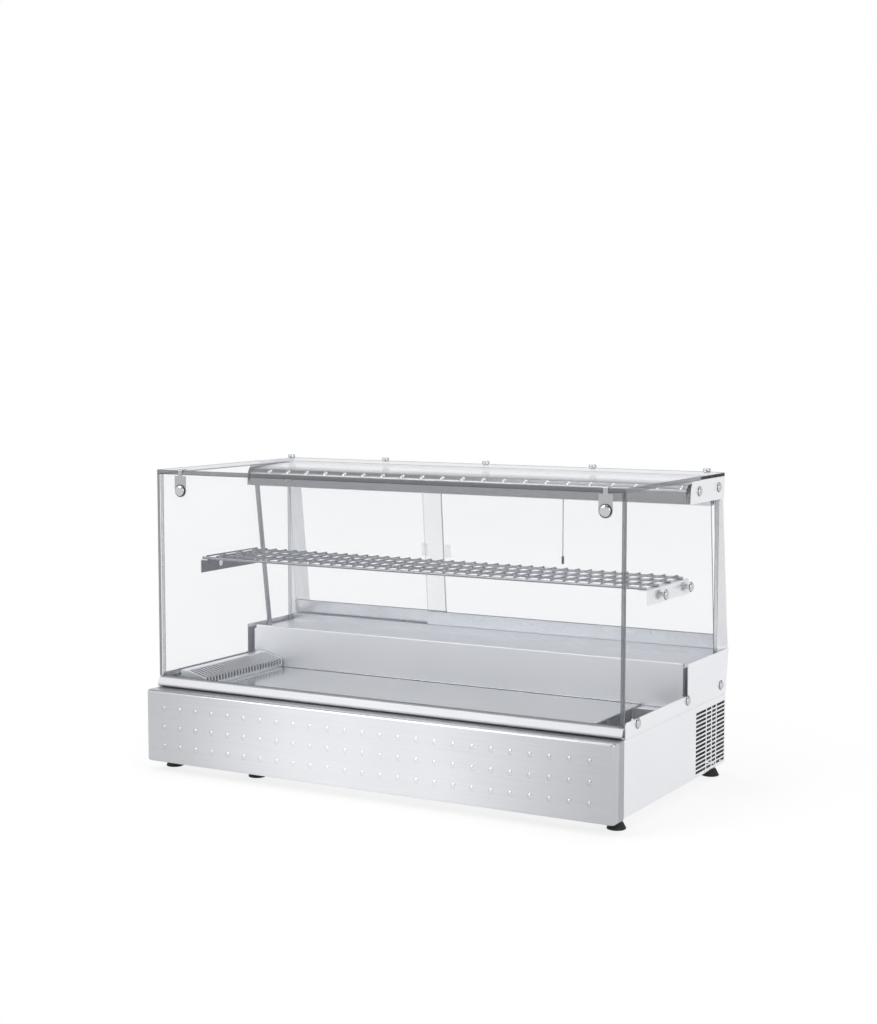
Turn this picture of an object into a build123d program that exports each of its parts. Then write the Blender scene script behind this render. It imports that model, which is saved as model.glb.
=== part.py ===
"""Countertop refrigerated display case: glass box on a stainless base, doors at the back.

X runs along the counter, +Y points to the back where the sliding doors are, +Z is up.
The origin is on the counter, under the middle of the case.  All sizes are millimetres.
Depths named v are measured backwards from the outer face of the front glass.
"""

from build123d import *
import os
from math import atan2, cos, degrees, hypot, pi, radians, sin, tan

# Overall sizes
case_width = 1000.0
panel_stand_off = 41.0
cabinet_depth = 495.0
rear_lean = 14.0
foot_height = 17.0
cabinet_height = 143.0
glass_box_height = 425.0

# Sheet metal
gauge = 1.5
bend = 1.0
seam_flange = 24.0
hem_fold = 9.0
seat = 0.3

# Glass
glass_thickness = 8.0
glass_set_back = 45.0
gasket_thickness = 1.5

# Base front panel
panel_overhang = 2.5
panel_height = 142.0
panel_lift = 3.0
panel_corner = 9.0
bump_diameter = 10.0
bump_rise = 1.8
panel_bump_margin = 42.0
panel_bump_rows = 3
panel_bump_pitch = 38.1
panel_bump_row_pitch = 37.0

# Deck rail, deck plate and rear panel
rail_height = 21.0
rail_width = 10.0
rail_rake = 8.5
rail_skirt = 18.5
rail_nose = 3.0
rail_shelf = 16.0
rear_panel_depth = 300.0
rear_panel_height = 87.0
rib_width = 8.0
ledge_drop = 9.0
rear_panel_gap = 2.0
conduit_room = 20.0
strip_height = 28.0
strip_start = 9.0
strip_chamfer = 6.0

# Header
header_height = 42.0
header_depth = 172.0
header_overhang = 22.0
header_rake = 11.0
header_fold_height = 28.0
header_ledge = 45.0
header_bump_margin = 32.0
header_bump_pitch = 46.2
header_bump_shift = 18.0

# Rear cheeks and sliding doors
cheek_flange = 18.0
door_tilt = 5.0
door_set_back = 8.0
door_track_spacing = 11.0
door_groove = 7.0
track_height = 14.0
top_track_height = 12.0
door_glass_thickness = 5.0
door_rail_height = 27.0
door_rail_thickness = 8.6
wide_door = 636.0
door_overlap = 38.0
pull_size = (12.0, 27.0, 3.5)

# Wire shelf
shelf_height = 404.0
shelf_front = 124.0
shelf_depth = 178.0
bracket_length = 196.0
bracket_drop = 28.0
bracket_width = 18.0
bracket_gauge = 2.0
frame_wire = 6.0
cross_wire = 4.0
cross_wire_pitch = 25.0
weld_sink = 0.8
wire_sides = 8
long_wires = 4

# Fasteners
bolt_diameter = 8.0
bolt_head = 17.5
bolt_head_height = 5.0
nut_width = 13.0
nut_height = 2.0
hole_clearance = 0.4
clip_screw_head = 22.0
clip_spread = 453.0
clip_shift = 11.0
clip_drop = 39.5
knob_diameter = 16.0
knob_height = 9.0

# Feet
foot_diameter = 34.0
foot_top = 18.0
foot_inset = 20.0
middle_foot = 283.0

# Cold well and air path
foam_gap = 11.0
foam_wall = 24.0
well_floor = 43.0
intake_room = 92.0
outlet_room = 95.0
deck_skirt = 30.0
deck_lip = 3.0
deck_gap = 4.0
fin_pitch = 10.0
fin_gap = 7.0

# Refrigeration
evaporator_fan_size = 92.0
condenser_fan_size = 120.0
knob_reach = 19.0
fan_depth = 25.0
compressor_diameter = 116.0
compressor_height = 140.0
line_diameter = 6.0

# Places worked out from the sizes above
half = case_width / 2
y_front = bump_rise - (panel_stand_off + bump_rise + cabinet_depth + knob_reach) / 2
y_glass = y_front + panel_stand_off
z_seam = foot_height + cabinet_height
z_floor = foot_height + gauge
z_rail = z_seam + rail_height
z_rear = z_seam + rear_panel_height
z_ledge = z_rear - ledge_drop
z_glass_top = z_seam + glass_box_height
z_header = z_glass_top - header_height
z_top = z_glass_top + glass_thickness
plate_in = half - gauge
glass_in = plate_in - glass_thickness
side_glass_depth = cabinet_depth - glass_set_back
header_back = side_glass_depth + header_overhang
header_front = header_back - header_depth
header_back_edge = header_back + gauge
knob_depth = header_back - 36
top_glass_depth = header_front + header_rake + header_ledge - 8
door_track_depth = side_glass_depth + door_set_back
deck_left = half - intake_room
deck_right = half - outlet_room
cheek_slope = (cabinet_depth + rear_lean - header_back) / (z_header - z_rear)
tilt = tan(radians(door_tilt))

os.makedirs("parts", exist_ok=True)


def at(v):
    """Y of a depth v behind the outer face of the front glass."""
    return y_glass + v


def block(x_low, x_high, v_low, v_high, z_low, z_high):
    corner = Pos(x_low, at(v_low), z_low)
    return corner * Box(x_high - x_low, v_high - v_low, z_high - z_low, align=(Align.MIN,) * 3)


def side_prism(outline, x_low, x_high):
    """Solid from an outline of (v, z) points, between two X planes."""
    face = make_face(Polyline(*[(at(v), z) for v, z in outline], close=True))
    return extrude(Plane.YZ.offset(x_low) * face, x_high - x_low)


def folded_face(points, thickness, hand, radii=None):
    """Face of a bent sheet: the line is one skin, the sheet lies on its left (1) or right (-1)."""
    radii = radii or [bend] * (len(points) - 2)
    runs = [(b[0] - a[0], b[1] - a[1]) for a, b in zip(points, points[1:])]
    units = [(dx / hypot(dx, dy), dy / hypot(dx, dy)) for dx, dy in runs]
    normals = [(-hand * dy, hand * dx) for dx, dy in units]
    skin = [shift(points[0], normals[0], thickness)]
    skin_radii = []
    line_radii = []
    for corner, (first, second) in enumerate(zip(normals, normals[1:]), start=1):
        mitre = (first[0] + second[0], first[1] + second[1])
        scale = thickness / (1 + first[0] * second[0] + first[1] * second[1])
        skin.append(shift(points[corner], mitre, scale))
        turn = units[corner - 1][0] * units[corner][1] - units[corner - 1][1] * units[corner][0]
        inner_skin = turn * hand > 0
        radius = radii[corner - 1]
        skin_radii.append(radius if inner_skin else radius + thickness)
        line_radii.append(radius + thickness if inner_skin else radius)
    skin.append(shift(points[-1], normals[-1], thickness))
    near = FilletPolyline(*points, radius=line_radii)
    far = FilletPolyline(*skin, radius=skin_radii)
    ends = [Line(points[0], skin[0]), Line(points[-1], skin[-1])]
    return make_face(near.edges() + far.edges() + ends)


def shift(point, direction, distance):
    return (point[0] + direction[0] * distance, point[1] + direction[1] * distance)


def folded_along_x(points, x_low, x_high, hand, radii=None):
    """Bent sheet with its profile in (v, z), running along X."""
    face = folded_face([(at(v), z) for v, z in points], gauge, hand, radii)
    return extrude(Plane.YZ.offset(x_low) * face, x_high - x_low)


def folded_along_y(points, v_low, v_high, hand, thickness=gauge):
    """Bent sheet with its profile in (x, z), running along Y."""
    plane = Plane(origin=(0, at(v_low), 0), x_dir=(1, 0, 0), z_dir=(0, -1, 0))
    return extrude(plane * folded_face(points, thickness, hand), -(v_high - v_low))


def rod(start, end, diameter):
    """Round bar between two (x, v, z) points."""
    a = Vector(start[0], at(start[1]), start[2])
    b = Vector(end[0], at(end[1]), end[2])
    return Plane(origin=a, z_dir=b - a) * Cylinder(
        diameter / 2, (b - a).length, align=(Align.CENTER, Align.CENTER, Align.MIN)
    )


def bump(diameter, rise):
    """Pressed stud, eight-sided to keep its faces few, standing on the XY plane."""
    slope = degrees(atan2(diameter / 4, rise))
    return extrude(RegularPolygon(diameter / 2, 8), rise, taper=slope)


def mirrored(solid):
    return mirror(solid, about=Plane.YZ)


def save(name, *solids):
    shape = solids[0] if len(solids) == 1 else Compound(children=[piece for piece in solids])
    export_step(shape, f"parts/{name}.step")


def flat(shapes):
    """All solids of a list of shapes."""
    return [solid for shape in shapes for solid in shape.solids()]


# Places of the bolts on each side, as (v, z), and where their nuts bear
strip_bolts = [
    (64.0, z_seam + 19),
    (rear_panel_depth - 3, z_seam + 19),
    (cabinet_depth - 26, z_seam + 20),
]
header_bolts = [(343.0, z_header + 22), (side_glass_depth - 6, z_header + 23)]
shelf_bolts = [
    (shelf_front + 64, shelf_height - bracket_drop / 2),
    (shelf_front + bracket_length - 11, shelf_height - bracket_drop / 2),
]
hole = bolt_diameter + hole_clearance


def side_holes(places, x_low, x_high):
    return [rod((x_low, v, z), (x_high, v, z), hole) for v, z in places]


def side_bolt(v, z, bearing, nut_face):
    """Dome-headed bolt through the right side, with its nut inside."""
    rim = 2.0
    profile = make_face(
        Polyline(
            (0, nut_face - nut_height),
            (bolt_diameter / 2, nut_face - nut_height),
            (bolt_diameter / 2, bearing),
            (bolt_head / 2, bearing),
            (bolt_head / 2, bearing + bolt_head_height - rim),
            (bolt_head / 2 - rim, bearing + bolt_head_height),
            (0, bearing + bolt_head_height),
            close=True,
        )
    )
    shank = revolve(Plane.XZ * profile, Axis.Z)
    nut = Pos(0, 0, nut_face - nut_height) * extrude(
        RegularPolygon(nut_width / 2, 6, major_radius=False), nut_height
    )
    turned = Pos(0, at(v), z) * Rot(0, 90, 0) * (shank + nut)
    return turned


# Base cabinet: one folded sheet, closed at the front, vented at the sides
def base_cabinet():
    low = foot_height
    path = [
        (-half + seam_flange, z_seam),
        (-half, z_seam),
        (-half, low + hem_fold),
        (-half + hem_fold, low),
        (half - hem_fold, low),
        (half, low + hem_fold),
        (half, z_seam),
        (half - seam_flange, z_seam),
    ]
    shell = folded_along_y(path, 0, cabinet_depth, 1)
    front = make_face(Polyline(*path[1:7], close=True))
    plane = Plane(origin=(0, y_glass, 0), x_dir=(1, 0, 0), z_dir=(0, -1, 0))
    shell += extrude(plane * front, -gauge)
    flange_width = 12.0
    flange = block(
        plate_in - flange_width,
        plate_in,
        cabinet_depth - 2 * gauge,
        cabinet_depth - gauge,
        z_floor,
        z_seam - gauge,
    )
    flange -= block(
        half - hem_fold - flange_width, half, 0, cabinet_depth, 0, foot_height + hem_fold + gauge
    )
    for z in panel_screw_z:
        flange -= through_panel(screw_x, z, panel_screw_diameter + hole_clearance)
    shell += flange + mirrored(flange)
    top_end = block(
        half - seam_flange - 1,
        plate_in,
        cabinet_depth - gauge - seat,
        cabinet_depth + 1,
        z_seam - 2 * gauge,
        z_seam + 1,
    )
    shell -= top_end + mirrored(top_end)
    return shell - side_vents()


vent_columns = [51.0, 23.0, 20.0, 42.0]
vent_web = 4.5
vent_margin = 15.0
vent_pitch = 8.0
vent_slot = 5.0


def side_vents():
    """Slots through both sides, in columns that end just before the rear edge."""
    total = sum(vent_columns) + vent_web * (len(vent_columns) - 1)
    v = cabinet_depth - 5 - total
    z_first = foot_height + hem_fold - 4
    slots = []
    for width in vent_columns:
        for row in range(int((cabinet_height - vent_margin) / vent_pitch)):
            z = z_first + row * vent_pitch
            slots.append(block(plate_in - 1, half + 1, v, v + width, z, z + vent_slot))
            slots.append(block(-half - 1, -plate_in + 1, v, v + width, z, z + vent_slot))
        v += width + vent_web
    return slots


# Front panel: deep tray with three rows of pressed studs
def front_panel():
    z_low = foot_height + panel_lift
    x = half + panel_overhang
    body = block(-x, x, -panel_stand_off, 0, z_low, z_low + panel_height)
    face = body.faces().sort_by(Axis.Y)[0]
    upright = [edge for edge in face.edges() if abs(edge.tangent_at(0.5).Z) > 0.9]
    body = fillet(upright, panel_corner)
    body -= hollow_tray(x - gauge, z_low + gauge, z_low + panel_height - gauge)
    z_middle = z_low + panel_height / 2 - 1
    columns = int((case_width - 2 * panel_bump_margin) / panel_bump_pitch) + 1
    for column in range(columns):
        for row in range(panel_bump_rows):
            x_bump = (column - (columns - 1) / 2) * panel_bump_pitch
            z_bump = z_middle + (row - (panel_bump_rows - 1) / 2) * panel_bump_row_pitch
            place = Pos(x_bump, y_front, z_bump) * Rot(90, 0, 0)
            body += place * bump(bump_diameter, bump_rise)
    return body


def hollow_tray(x, z_low, z_high):
    inside = block(-x, x, gauge - panel_stand_off, 1, z_low, z_high)
    face = inside.faces().sort_by(Axis.Y)[0]
    upright = [edge for edge in face.edges() if abs(edge.tangent_at(0.5).Z) > 0.9]
    return fillet(upright, panel_corner - gauge)


# Feet: flat disc with a cone, four at the corners and a pair under the compressor
def feet():
    disc = 3.0
    lip = 1.0
    outline = Polyline(
        (0, 0),
        (foot_diameter / 2 - lip, 0),
        (foot_diameter / 2, lip),
        (foot_diameter / 2, disc),
        (foot_top / 2 + 2, foot_height - disc),
        (foot_top / 2, foot_height),
        (0, foot_height),
        close=True,
    )
    foot = revolve(Plane.XZ * make_face(outline), Axis.Z)
    x = half - foot_inset
    rear = cabinet_depth - foot_inset - 5
    places = [(-x, foot_inset), (x, foot_inset), (-x, rear), (x, rear)]
    places += [(-middle_foot, foot_inset + 5), (-middle_foot, rear)]
    return [Pos(px, at(v), 0) * foot for px, v in places]


# Cold well: foam block, stainless liner and the partition to the machine space
foam_x = half - foam_gap
well_x = foam_x - foam_wall
well_front = foam_wall + 2
well_back = rear_panel_depth - foam_wall - 4
z_well = foot_height + well_floor
flange_x = half - seam_flange - seat
foam_back = rear_panel_depth - 4
partition_v = foam_back + 2
drain_x = -well_x * 0.65
drain_z = z_well + 14
drain_diameter = 14.0


def drain_hole(v_low, v_high):
    return rod((drain_x, v_low, drain_z), (drain_x, v_high, drain_z), drain_diameter + hole_clearance)


def insulation():
    foam = block(-foam_x, foam_x, gauge, foam_back, z_floor, z_seam - gauge)
    foam -= block(-well_x, well_x, well_front, well_back, z_well, z_seam)
    return foam - drain_hole(well_back - 1, foam_back + 1)


def well_liner():
    liner = block(-well_x, well_x, well_front, well_back, z_well, z_seam - gauge)
    liner += block(-flange_x, flange_x, gauge, foam_back + 1, z_seam - gauge, z_seam)
    liner -= block(
        gauge - well_x,
        well_x - gauge,
        well_front + gauge,
        well_back - gauge,
        z_well + gauge,
        z_seam + 1,
    )
    return liner - drain_hole(well_back - 2 * gauge, well_back + 1)


def partition():
    shelf = rear_panel_depth + rib_width + 2 * gauge
    path = [(partition_v, z_floor), (partition_v, z_seam), (shelf, z_seam)]
    wall = folded_along_x(path, -flange_x, flange_x, -1)
    return wall - drain_hole(partition_v - 1, partition_v + 3)


# Deck: raked rail under the front glass, lift-off plate and louvred air intake
def deck_rail():
    path = [
        (rail_width - gauge - seat, z_rail - rail_skirt),
        (-rail_rake, z_rail - rail_skirt),
        (0, z_rail),
        (rail_width, z_rail),
        (rail_width, z_seam + gauge),
        (rail_width + rail_shelf, z_seam + gauge),
    ]
    rail = folded_along_x(path, -half, half, -1, [rail_nose, bend, bend, bend])
    corner = block(
        glass_in - seat, half + 1, glass_thickness - seat, 40, z_seam - 1, z_rail + 1
    )
    return rail - corner - mirrored(corner)


z_deck = z_seam + 2 * gauge
finger_slot_v = 90.0
deck_front = rail_width + 2
deck_back = rear_panel_depth - deck_gap


def deck_plate():
    path = [(deck_front, z_deck), (deck_back, z_deck), (deck_back, z_deck - deck_lip)]
    plate = folded_along_x(path, -deck_left, deck_right, -1)
    skirt_front = well_front + gauge + 2
    skirt_back = well_back - gauge - 2
    skirt = block(
        deck_right - gauge, deck_right, skirt_front, skirt_back, z_deck - deck_skirt, z_deck
    )
    post = 10.0
    windows = 2
    window = (skirt_back - skirt_front - (windows + 1) * post) / windows
    for number in range(windows):
        v = skirt_front + post + number * (window + post)
        skirt -= block(
            deck_right - 5, deck_right + 5, v, v + window, z_deck - deck_skirt + 6, z_deck - 2 * gauge
        )
    finger = SlotOverall(16, 6)
    slot = extrude(finger, 10)
    plate -= Pos(deck_right - 14, at(finger_slot_v), z_deck - 5) * slot
    return plate + skirt


grille_left = glass_in - 20.5
grille_right = deck_left + 2
grille_flat = 16.0
grille_rise = 31.0
grille_fall = 12.0


def grille_outline(inset):
    """Section of the intake cover: flat left border, sloping top and a low right wall."""
    low = z_seam if inset == 0 else z_seam - 1
    top = z_seam + gauge + grille_rise - inset
    return [
        (-grille_left + inset, low),
        (-grille_left + inset, top),
        (-grille_left + grille_flat, top),
        (-grille_right - inset, top - grille_fall),
        (-grille_right - inset, low),
    ]


def return_grille():
    front = rail_width + rail_shelf + 4
    back = rear_panel_depth - deck_gap
    wall = 2.0
    plane = Plane(origin=(0, at(front), 0), x_dir=(1, 0, 0), z_dir=(0, -1, 0))
    outer = extrude(plane * make_face(Polyline(*grille_outline(0), close=True)), -(back - front))
    plane = plane.offset(-wall)
    inner = make_face(Polyline(*grille_outline(wall), close=True))
    cover = outer - extrude(plane * inner, -(back - front - 2 * wall))
    slots = int((back - front - 2 * wall) / fin_pitch)
    first = (front + back - slots * fin_pitch + fin_pitch - fin_gap) / 2
    border = 9.0
    for number in range(slots):
        v = first + number * fin_pitch
        cover -= block(
            -grille_left + grille_flat + 1,
            -grille_right + 1,
            v,
            v + fin_gap,
            z_seam + border,
            z_seam + gauge + grille_rise + 1,
        )
    return cover


# Rear panel of the deck, with its folded rib, and the cover of the machine space
def rear_panel():
    path = [
        (rear_panel_depth + rib_width - seat, z_seam),
        (rear_panel_depth, z_seam),
        (rear_panel_depth, z_rear),
        (rear_panel_depth + rib_width, z_rear),
        (rear_panel_depth + rib_width, z_ledge + 2),
    ]
    left = conduit_room + rear_panel_gap
    return folded_along_x(path, left - half, glass_in - rear_panel_gap, -1)


conduit_diameter = 10.0
conduit_x = -(glass_in - conduit_diameter / 2 - 2.5)
conduit_low = rear_panel_depth + 56
conduit_high = header_front + 14
cover_x = glass_in - gauge
ledge_back = cabinet_depth + rear_lean - 6


def machine_cover():
    front = rear_panel_depth + rib_width
    path = [(front, z_seam), (front, z_ledge), (ledge_back, z_ledge), (ledge_back, z_ledge - 10)]
    cover = folded_along_x(path, -cover_x, cover_x, -1)
    outline = [
        (front, z_seam),
        (front, z_ledge - 1),
        (ledge_back, z_ledge - 1),
        (ledge_back, z_ledge - 6),
        (cabinet_depth - gauge - 2, z_seam),
    ]
    end = side_prism(outline, cover_x - gauge, cover_x)
    return cover + end + mirrored(end)


# L-shaped side plates that hold the feet of the side glasses
def side_plate():
    top = z_seam + strip_height
    outline = [
        (strip_start, z_seam),
        (strip_start, top - strip_chamfer),
        (strip_start + strip_chamfer, top),
        (rear_panel_depth - 3, top),
        (rear_panel_depth - 3, z_rear),
        (cabinet_depth + rear_lean, z_rear),
        (cabinet_depth, z_seam),
    ]
    plate = side_prism(outline, plate_in, half)
    for cutter in side_holes(strip_bolts, plate_in - 1, half + 1):
        plate -= cutter
    return plate


# Glass box
z_side_glass = z_seam + gasket_thickness
z_front_glass = z_rail + gasket_thickness
clip_screw_z = z_top - clip_drop
clip_places = (clip_shift - clip_spread, clip_shift + clip_spread)


def glass_gaskets():
    side = block(glass_in + 0.5, plate_in - 0.5, glass_thickness + 0.5, side_glass_depth, z_seam, z_side_glass)
    front = block(-glass_in, glass_in, 0.5, glass_thickness - 0.5, z_rail, z_front_glass)
    return [side, mirrored(side), front]


def glass_side():
    pane = block(glass_in, plate_in, glass_thickness, side_glass_depth, z_side_glass, z_glass_top)
    places = strip_bolts[:2] + header_bolts + shelf_bolts
    for cutter in side_holes(places, glass_in - 1, plate_in + 1):
        pane -= cutter
    return pane


def glass_front():
    pane = block(-half, half, 0, glass_thickness, z_front_glass, z_glass_top)
    for x in clip_places:
        pane -= rod((x, -1, clip_screw_z), (x, glass_thickness + 1, clip_screw_z), hole)
    return pane


def glass_top():
    pane = block(-half, half, 0, top_glass_depth, z_glass_top, z_top)
    front_edge = pane.edges().filter_by(Axis.X).group_by(Axis.Y)[0].sort_by(Axis.Z)[-1]
    return chamfer(front_edge, bend)


def glass_clip(clip_x):
    """Round-ended tab on the front glass, with a neck that hooks over the top glass."""
    width = 26.0
    neck = 9.0
    tab_top = z_top - 11
    tab = Pos(0, 0, clip_screw_z) * Rot(90, 0, 0) * Cylinder(width / 2, gauge)
    tab += Pos(0, 0, (clip_screw_z + tab_top) / 2) * Box(width, gauge, tab_top - clip_screw_z)
    tab = Pos(clip_x, y_glass - gauge / 2, 0) * tab
    tab -= rod((clip_x, -5, clip_screw_z), (clip_x, 5, clip_screw_z), hole)
    path = [(0, tab_top - 4), (0, z_top), (16, z_top)]
    hook = folded_along_x(path, clip_x - neck / 2, clip_x + neck / 2, 1)
    return tab + hook


def clip_screw(clip_x):
    """Domed screw with its nut behind the front glass."""
    front = -gauge - 6.0
    rim = 2.5
    outline = Polyline(
        (0, front),
        (clip_screw_head / 2 - rim, front),
        (clip_screw_head / 2, front + rim),
        (clip_screw_head / 2, -gauge),
        (bolt_diameter / 2, -gauge),
        (bolt_diameter / 2, glass_thickness),
        (nut_width / 2, glass_thickness),
        (nut_width / 2, glass_thickness + nut_height),
        (0, glass_thickness + nut_height),
        close=True,
    )
    turned = revolve(Plane.XZ * make_face(outline), Axis.Z)
    return Pos(clip_x, y_glass, clip_screw_z) * Rot(-90, 0, 0) * turned


# Header: folded channel across the top at the back, its cover and end plates
z_fold = z_header + header_fold_height
header_x = glass_in - seat
lamp_front = header_front + 14
lamp_width = 22.0
lamp_length = 2 * header_x - 70
end_plate_top = [(top_glass_depth + 1, z_glass_top), (top_glass_depth + 1, z_top)]


def header_channel():
    nose = header_front + header_rake
    path = [
        (nose + header_ledge, z_glass_top),
        (nose, z_glass_top),
        (header_front + 3, z_fold),
        (header_front, z_header),
        (header_back, z_header),
        (header_back, z_top - 2 * gauge),
    ]
    channel = folded_along_x(path, -header_x, header_x, 1)
    outline = path[1:] + [(nose + header_ledge, z_top - 2 * gauge), path[0]]
    end = side_prism(outline, header_x - gauge, header_x)
    for cutter in side_holes(header_bolts, header_x - 5, header_x + 5):
        end -= cutter
    channel += end + mirrored(end)
    channel -= block(
        -lamp_length / 2,
        lamp_length / 2,
        lamp_front,
        lamp_front + lamp_width,
        z_header - 1,
        z_header + 2 * gauge,
    )
    bumps = int((case_width - 2 * header_bump_margin) / header_bump_pitch) + 1
    for number in range(bumps):
        x = (number - (bumps - 1) / 2) * header_bump_pitch + header_bump_shift
        place = Pos(x, at(header_front + 3), z_fold - 2) * Rot(90, 0, 0)
        channel += place * bump(bump_diameter, bump_rise)
    return channel


def header_cover():
    path = [
        (top_glass_depth + 1, z_glass_top),
        (top_glass_depth + 1, z_top),
        (header_back_edge, z_top),
        (header_back_edge, z_header + 26),
    ]
    return folded_along_x(path, seat - plate_in, plate_in - seat, -1)


def header_end_plate():
    outline = [
        (header_front, z_header),
        (header_front + 3, z_fold),
        (header_front + header_rake, z_glass_top),
        *end_plate_top,
        (header_back_edge, z_top),
        (header_back_edge, z_header + 26),
        (header_back, z_header),
    ]
    plate = side_prism(outline, plate_in, half)
    for cutter in side_holes(header_bolts, plate_in - 1, half + 1):
        plate -= cutter
    return plate


def cover_knobs():
    """Round stops along the back of the header cover."""
    count = 5
    span = case_width - 44
    rim = 1.5
    outline = Polyline(
        (0, 0),
        (knob_diameter / 2, 0),
        (knob_diameter / 2, knob_height - rim),
        (knob_diameter / 2 - rim, knob_height),
        (0, knob_height),
        close=True,
    )
    knob = revolve(Plane.XZ * make_face(outline), Axis.Z)
    step = span / (count - 1)
    return [
        Pos(number * step - span / 2, at(knob_depth), z_top) * knob for number in range(count)
    ]


def lamp_housing():
    path = [
        (lamp_front - 4, z_header + gauge),
        (lamp_front, z_header + gauge),
        (lamp_front + 3, z_header + 14),
        (lamp_front + lamp_width - 3, z_header + 14),
        (lamp_front + lamp_width, z_header + gauge),
        (lamp_front + lamp_width + 4, z_header + gauge),
    ]
    half_length = lamp_length / 2 - 2
    outline = [(v, z) for v, z in path]
    wall = 1.6
    body = side_prism(outline, -half_length, half_length)
    inside = [
        (lamp_front + wall, z_header),
        (lamp_front + 3 + wall, z_header + 14 - wall),
        (lamp_front + lamp_width - 3 - wall, z_header + 14 - wall),
        (lamp_front + lamp_width - wall, z_header),
    ]
    body -= side_prism(inside, wall - half_length, half_length - wall)
    return body


def lamp_diffuser():
    half_length = lamp_length / 2 - seat
    low = lamp_front + seat
    high = lamp_front + lamp_width - seat
    return block(-half_length, half_length, low, high, z_header, z_header + gauge)


def conduit_tube():
    """Leaning wiring tube from the ledge up to the header."""
    slope = (conduit_high - conduit_low) / (z_header - z_ledge)
    low = (conduit_x, conduit_low - slope * 20, z_ledge - 20)
    high = (conduit_x, conduit_high + slope * 20, z_header + 20)
    tube = rod(low, high, conduit_diameter) - rod(low, high, conduit_diameter - 2)
    keep = block(conduit_x - 20, conduit_x + 20, 0, cabinet_depth, z_ledge, z_header)
    return tube & keep


def air_probe():
    x = 237.0
    v = shelf_front + shelf_depth + 5
    tip = 16.0
    z_low = z_header - 126
    stem = rod((x, v, z_low + tip), (x, v, z_header), 2.5)
    return stem + rod((x, v, z_low), (x, v, z_low + tip), 5.0)


# Wire shelf on two angle brackets
def shelf_bracket():
    path = [
        (glass_in - bracket_width, shelf_height),
        (glass_in, shelf_height),
        (glass_in, shelf_height - bracket_drop),
    ]
    bracket = folded_along_y(path, shelf_front, shelf_front + bracket_length, -1, bracket_gauge)
    for cutter in side_holes(shelf_bolts, glass_in - 5, glass_in + 1):
        bracket -= cutter
    return bracket


def wire_shelf():
    radius = frame_wire / 2
    x = glass_in - 4.5
    z = shelf_height + radius * cos(pi / wire_sides)
    back = shelf_front + shelf_depth
    shelf = None
    step = (shelf_depth - frame_wire) / (long_wires - 1)
    for number in range(long_wires):
        v = shelf_front + radius + number * step
        wire = Pos(-x, at(v), z) * Rot(0, 90, 0) * wire_bar(frame_wire, 2 * x)
        shelf = wire if shelf is None else shelf + wire
    z_cross = z + radius + cross_wire / 2 - weld_sink
    count = int((2 * x - cross_wire) / cross_wire_pitch) + 1
    span = (count - 1) * cross_wire_pitch
    cross_bar = wire_bar(cross_wire, shelf_depth - 2)
    for number in range(count):
        x_wire = number * cross_wire_pitch - span / 2
        shelf += Pos(x_wire, at(back - 1), z_cross) * Rot(90, 0, 0) * cross_bar
    return shelf


def wire_bar(diameter, length):
    """Wire along +Z, eight-sided to keep the grid's faces few, with a flat side down."""
    section = Rot(0, 0, 180 / wire_sides) * RegularPolygon(diameter / 2, wire_sides)
    return extrude(section, length)


# Rear cheeks: folded uprights between the side glasses and the leaning back edge
def cheek():
    x_out = plate_in
    x_in = plate_in - gauge
    back = cabinet_depth + rear_lean

    def edge(z, inset):
        return (back - inset - (z - z_rear) * cheek_slope, z)

    front = side_glass_depth + seat
    outline = [
        (front, z_seam + 5),
        (front, z_glass_top - 1),
        edge(z_glass_top - 1, 0),
        edge(z_rear + 1, 0),
        (back - 5, z_rear - 7),
        (cabinet_depth - 4, z_seam + 5),
    ]
    plate = side_prism(outline, x_in, x_out)
    plate -= rod((x_in - 1, *strip_bolts[2]), (x_out + 1, *strip_bolts[2]), hole)
    low = z_rear + 2
    high = z_header - 2
    flange = side_prism(
        [edge(low, 0), edge(high, 0), edge(high, gauge), edge(low, gauge)], x_in - cheek_flange, x_in
    )
    nose = block(glass_in, x_in, front, front + gauge, low, high)
    return plate + flange + nose


# Door tracks: double channels on the ledge and under the header
def track(v_first, z_low, height, opens_up):
    wall = 2.0
    base = 2.0
    x = glass_in - 1
    v_low = v_first - door_groove / 2 - wall
    v_high = v_first + door_track_spacing + door_groove / 2 + wall
    bar = block(-x, x, v_low, v_high, z_low, z_low + height)
    groove_low = z_low + base if opens_up else z_low - 1
    groove_high = z_low + height + 1 if opens_up else z_low + height - base
    for number in range(2):
        v = v_first + number * door_track_spacing
        bar -= block(
            -x - 1, x + 1, v - door_groove / 2, v + door_groove / 2, groove_low, groove_high
        )
    return bar


top_track_v = door_track_depth - tilt * (z_header - z_ledge)


def door_tracks():
    low = track(door_track_depth, z_ledge, track_height, True)
    high = track(top_track_v + 1, z_header - top_track_height, top_track_height, False)
    return [low, high]


# Sliding doors, leaning forwards with the back of the case
door_x = glass_in - 1.5
narrow_door = 2 * door_x - wide_door + door_overlap


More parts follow.
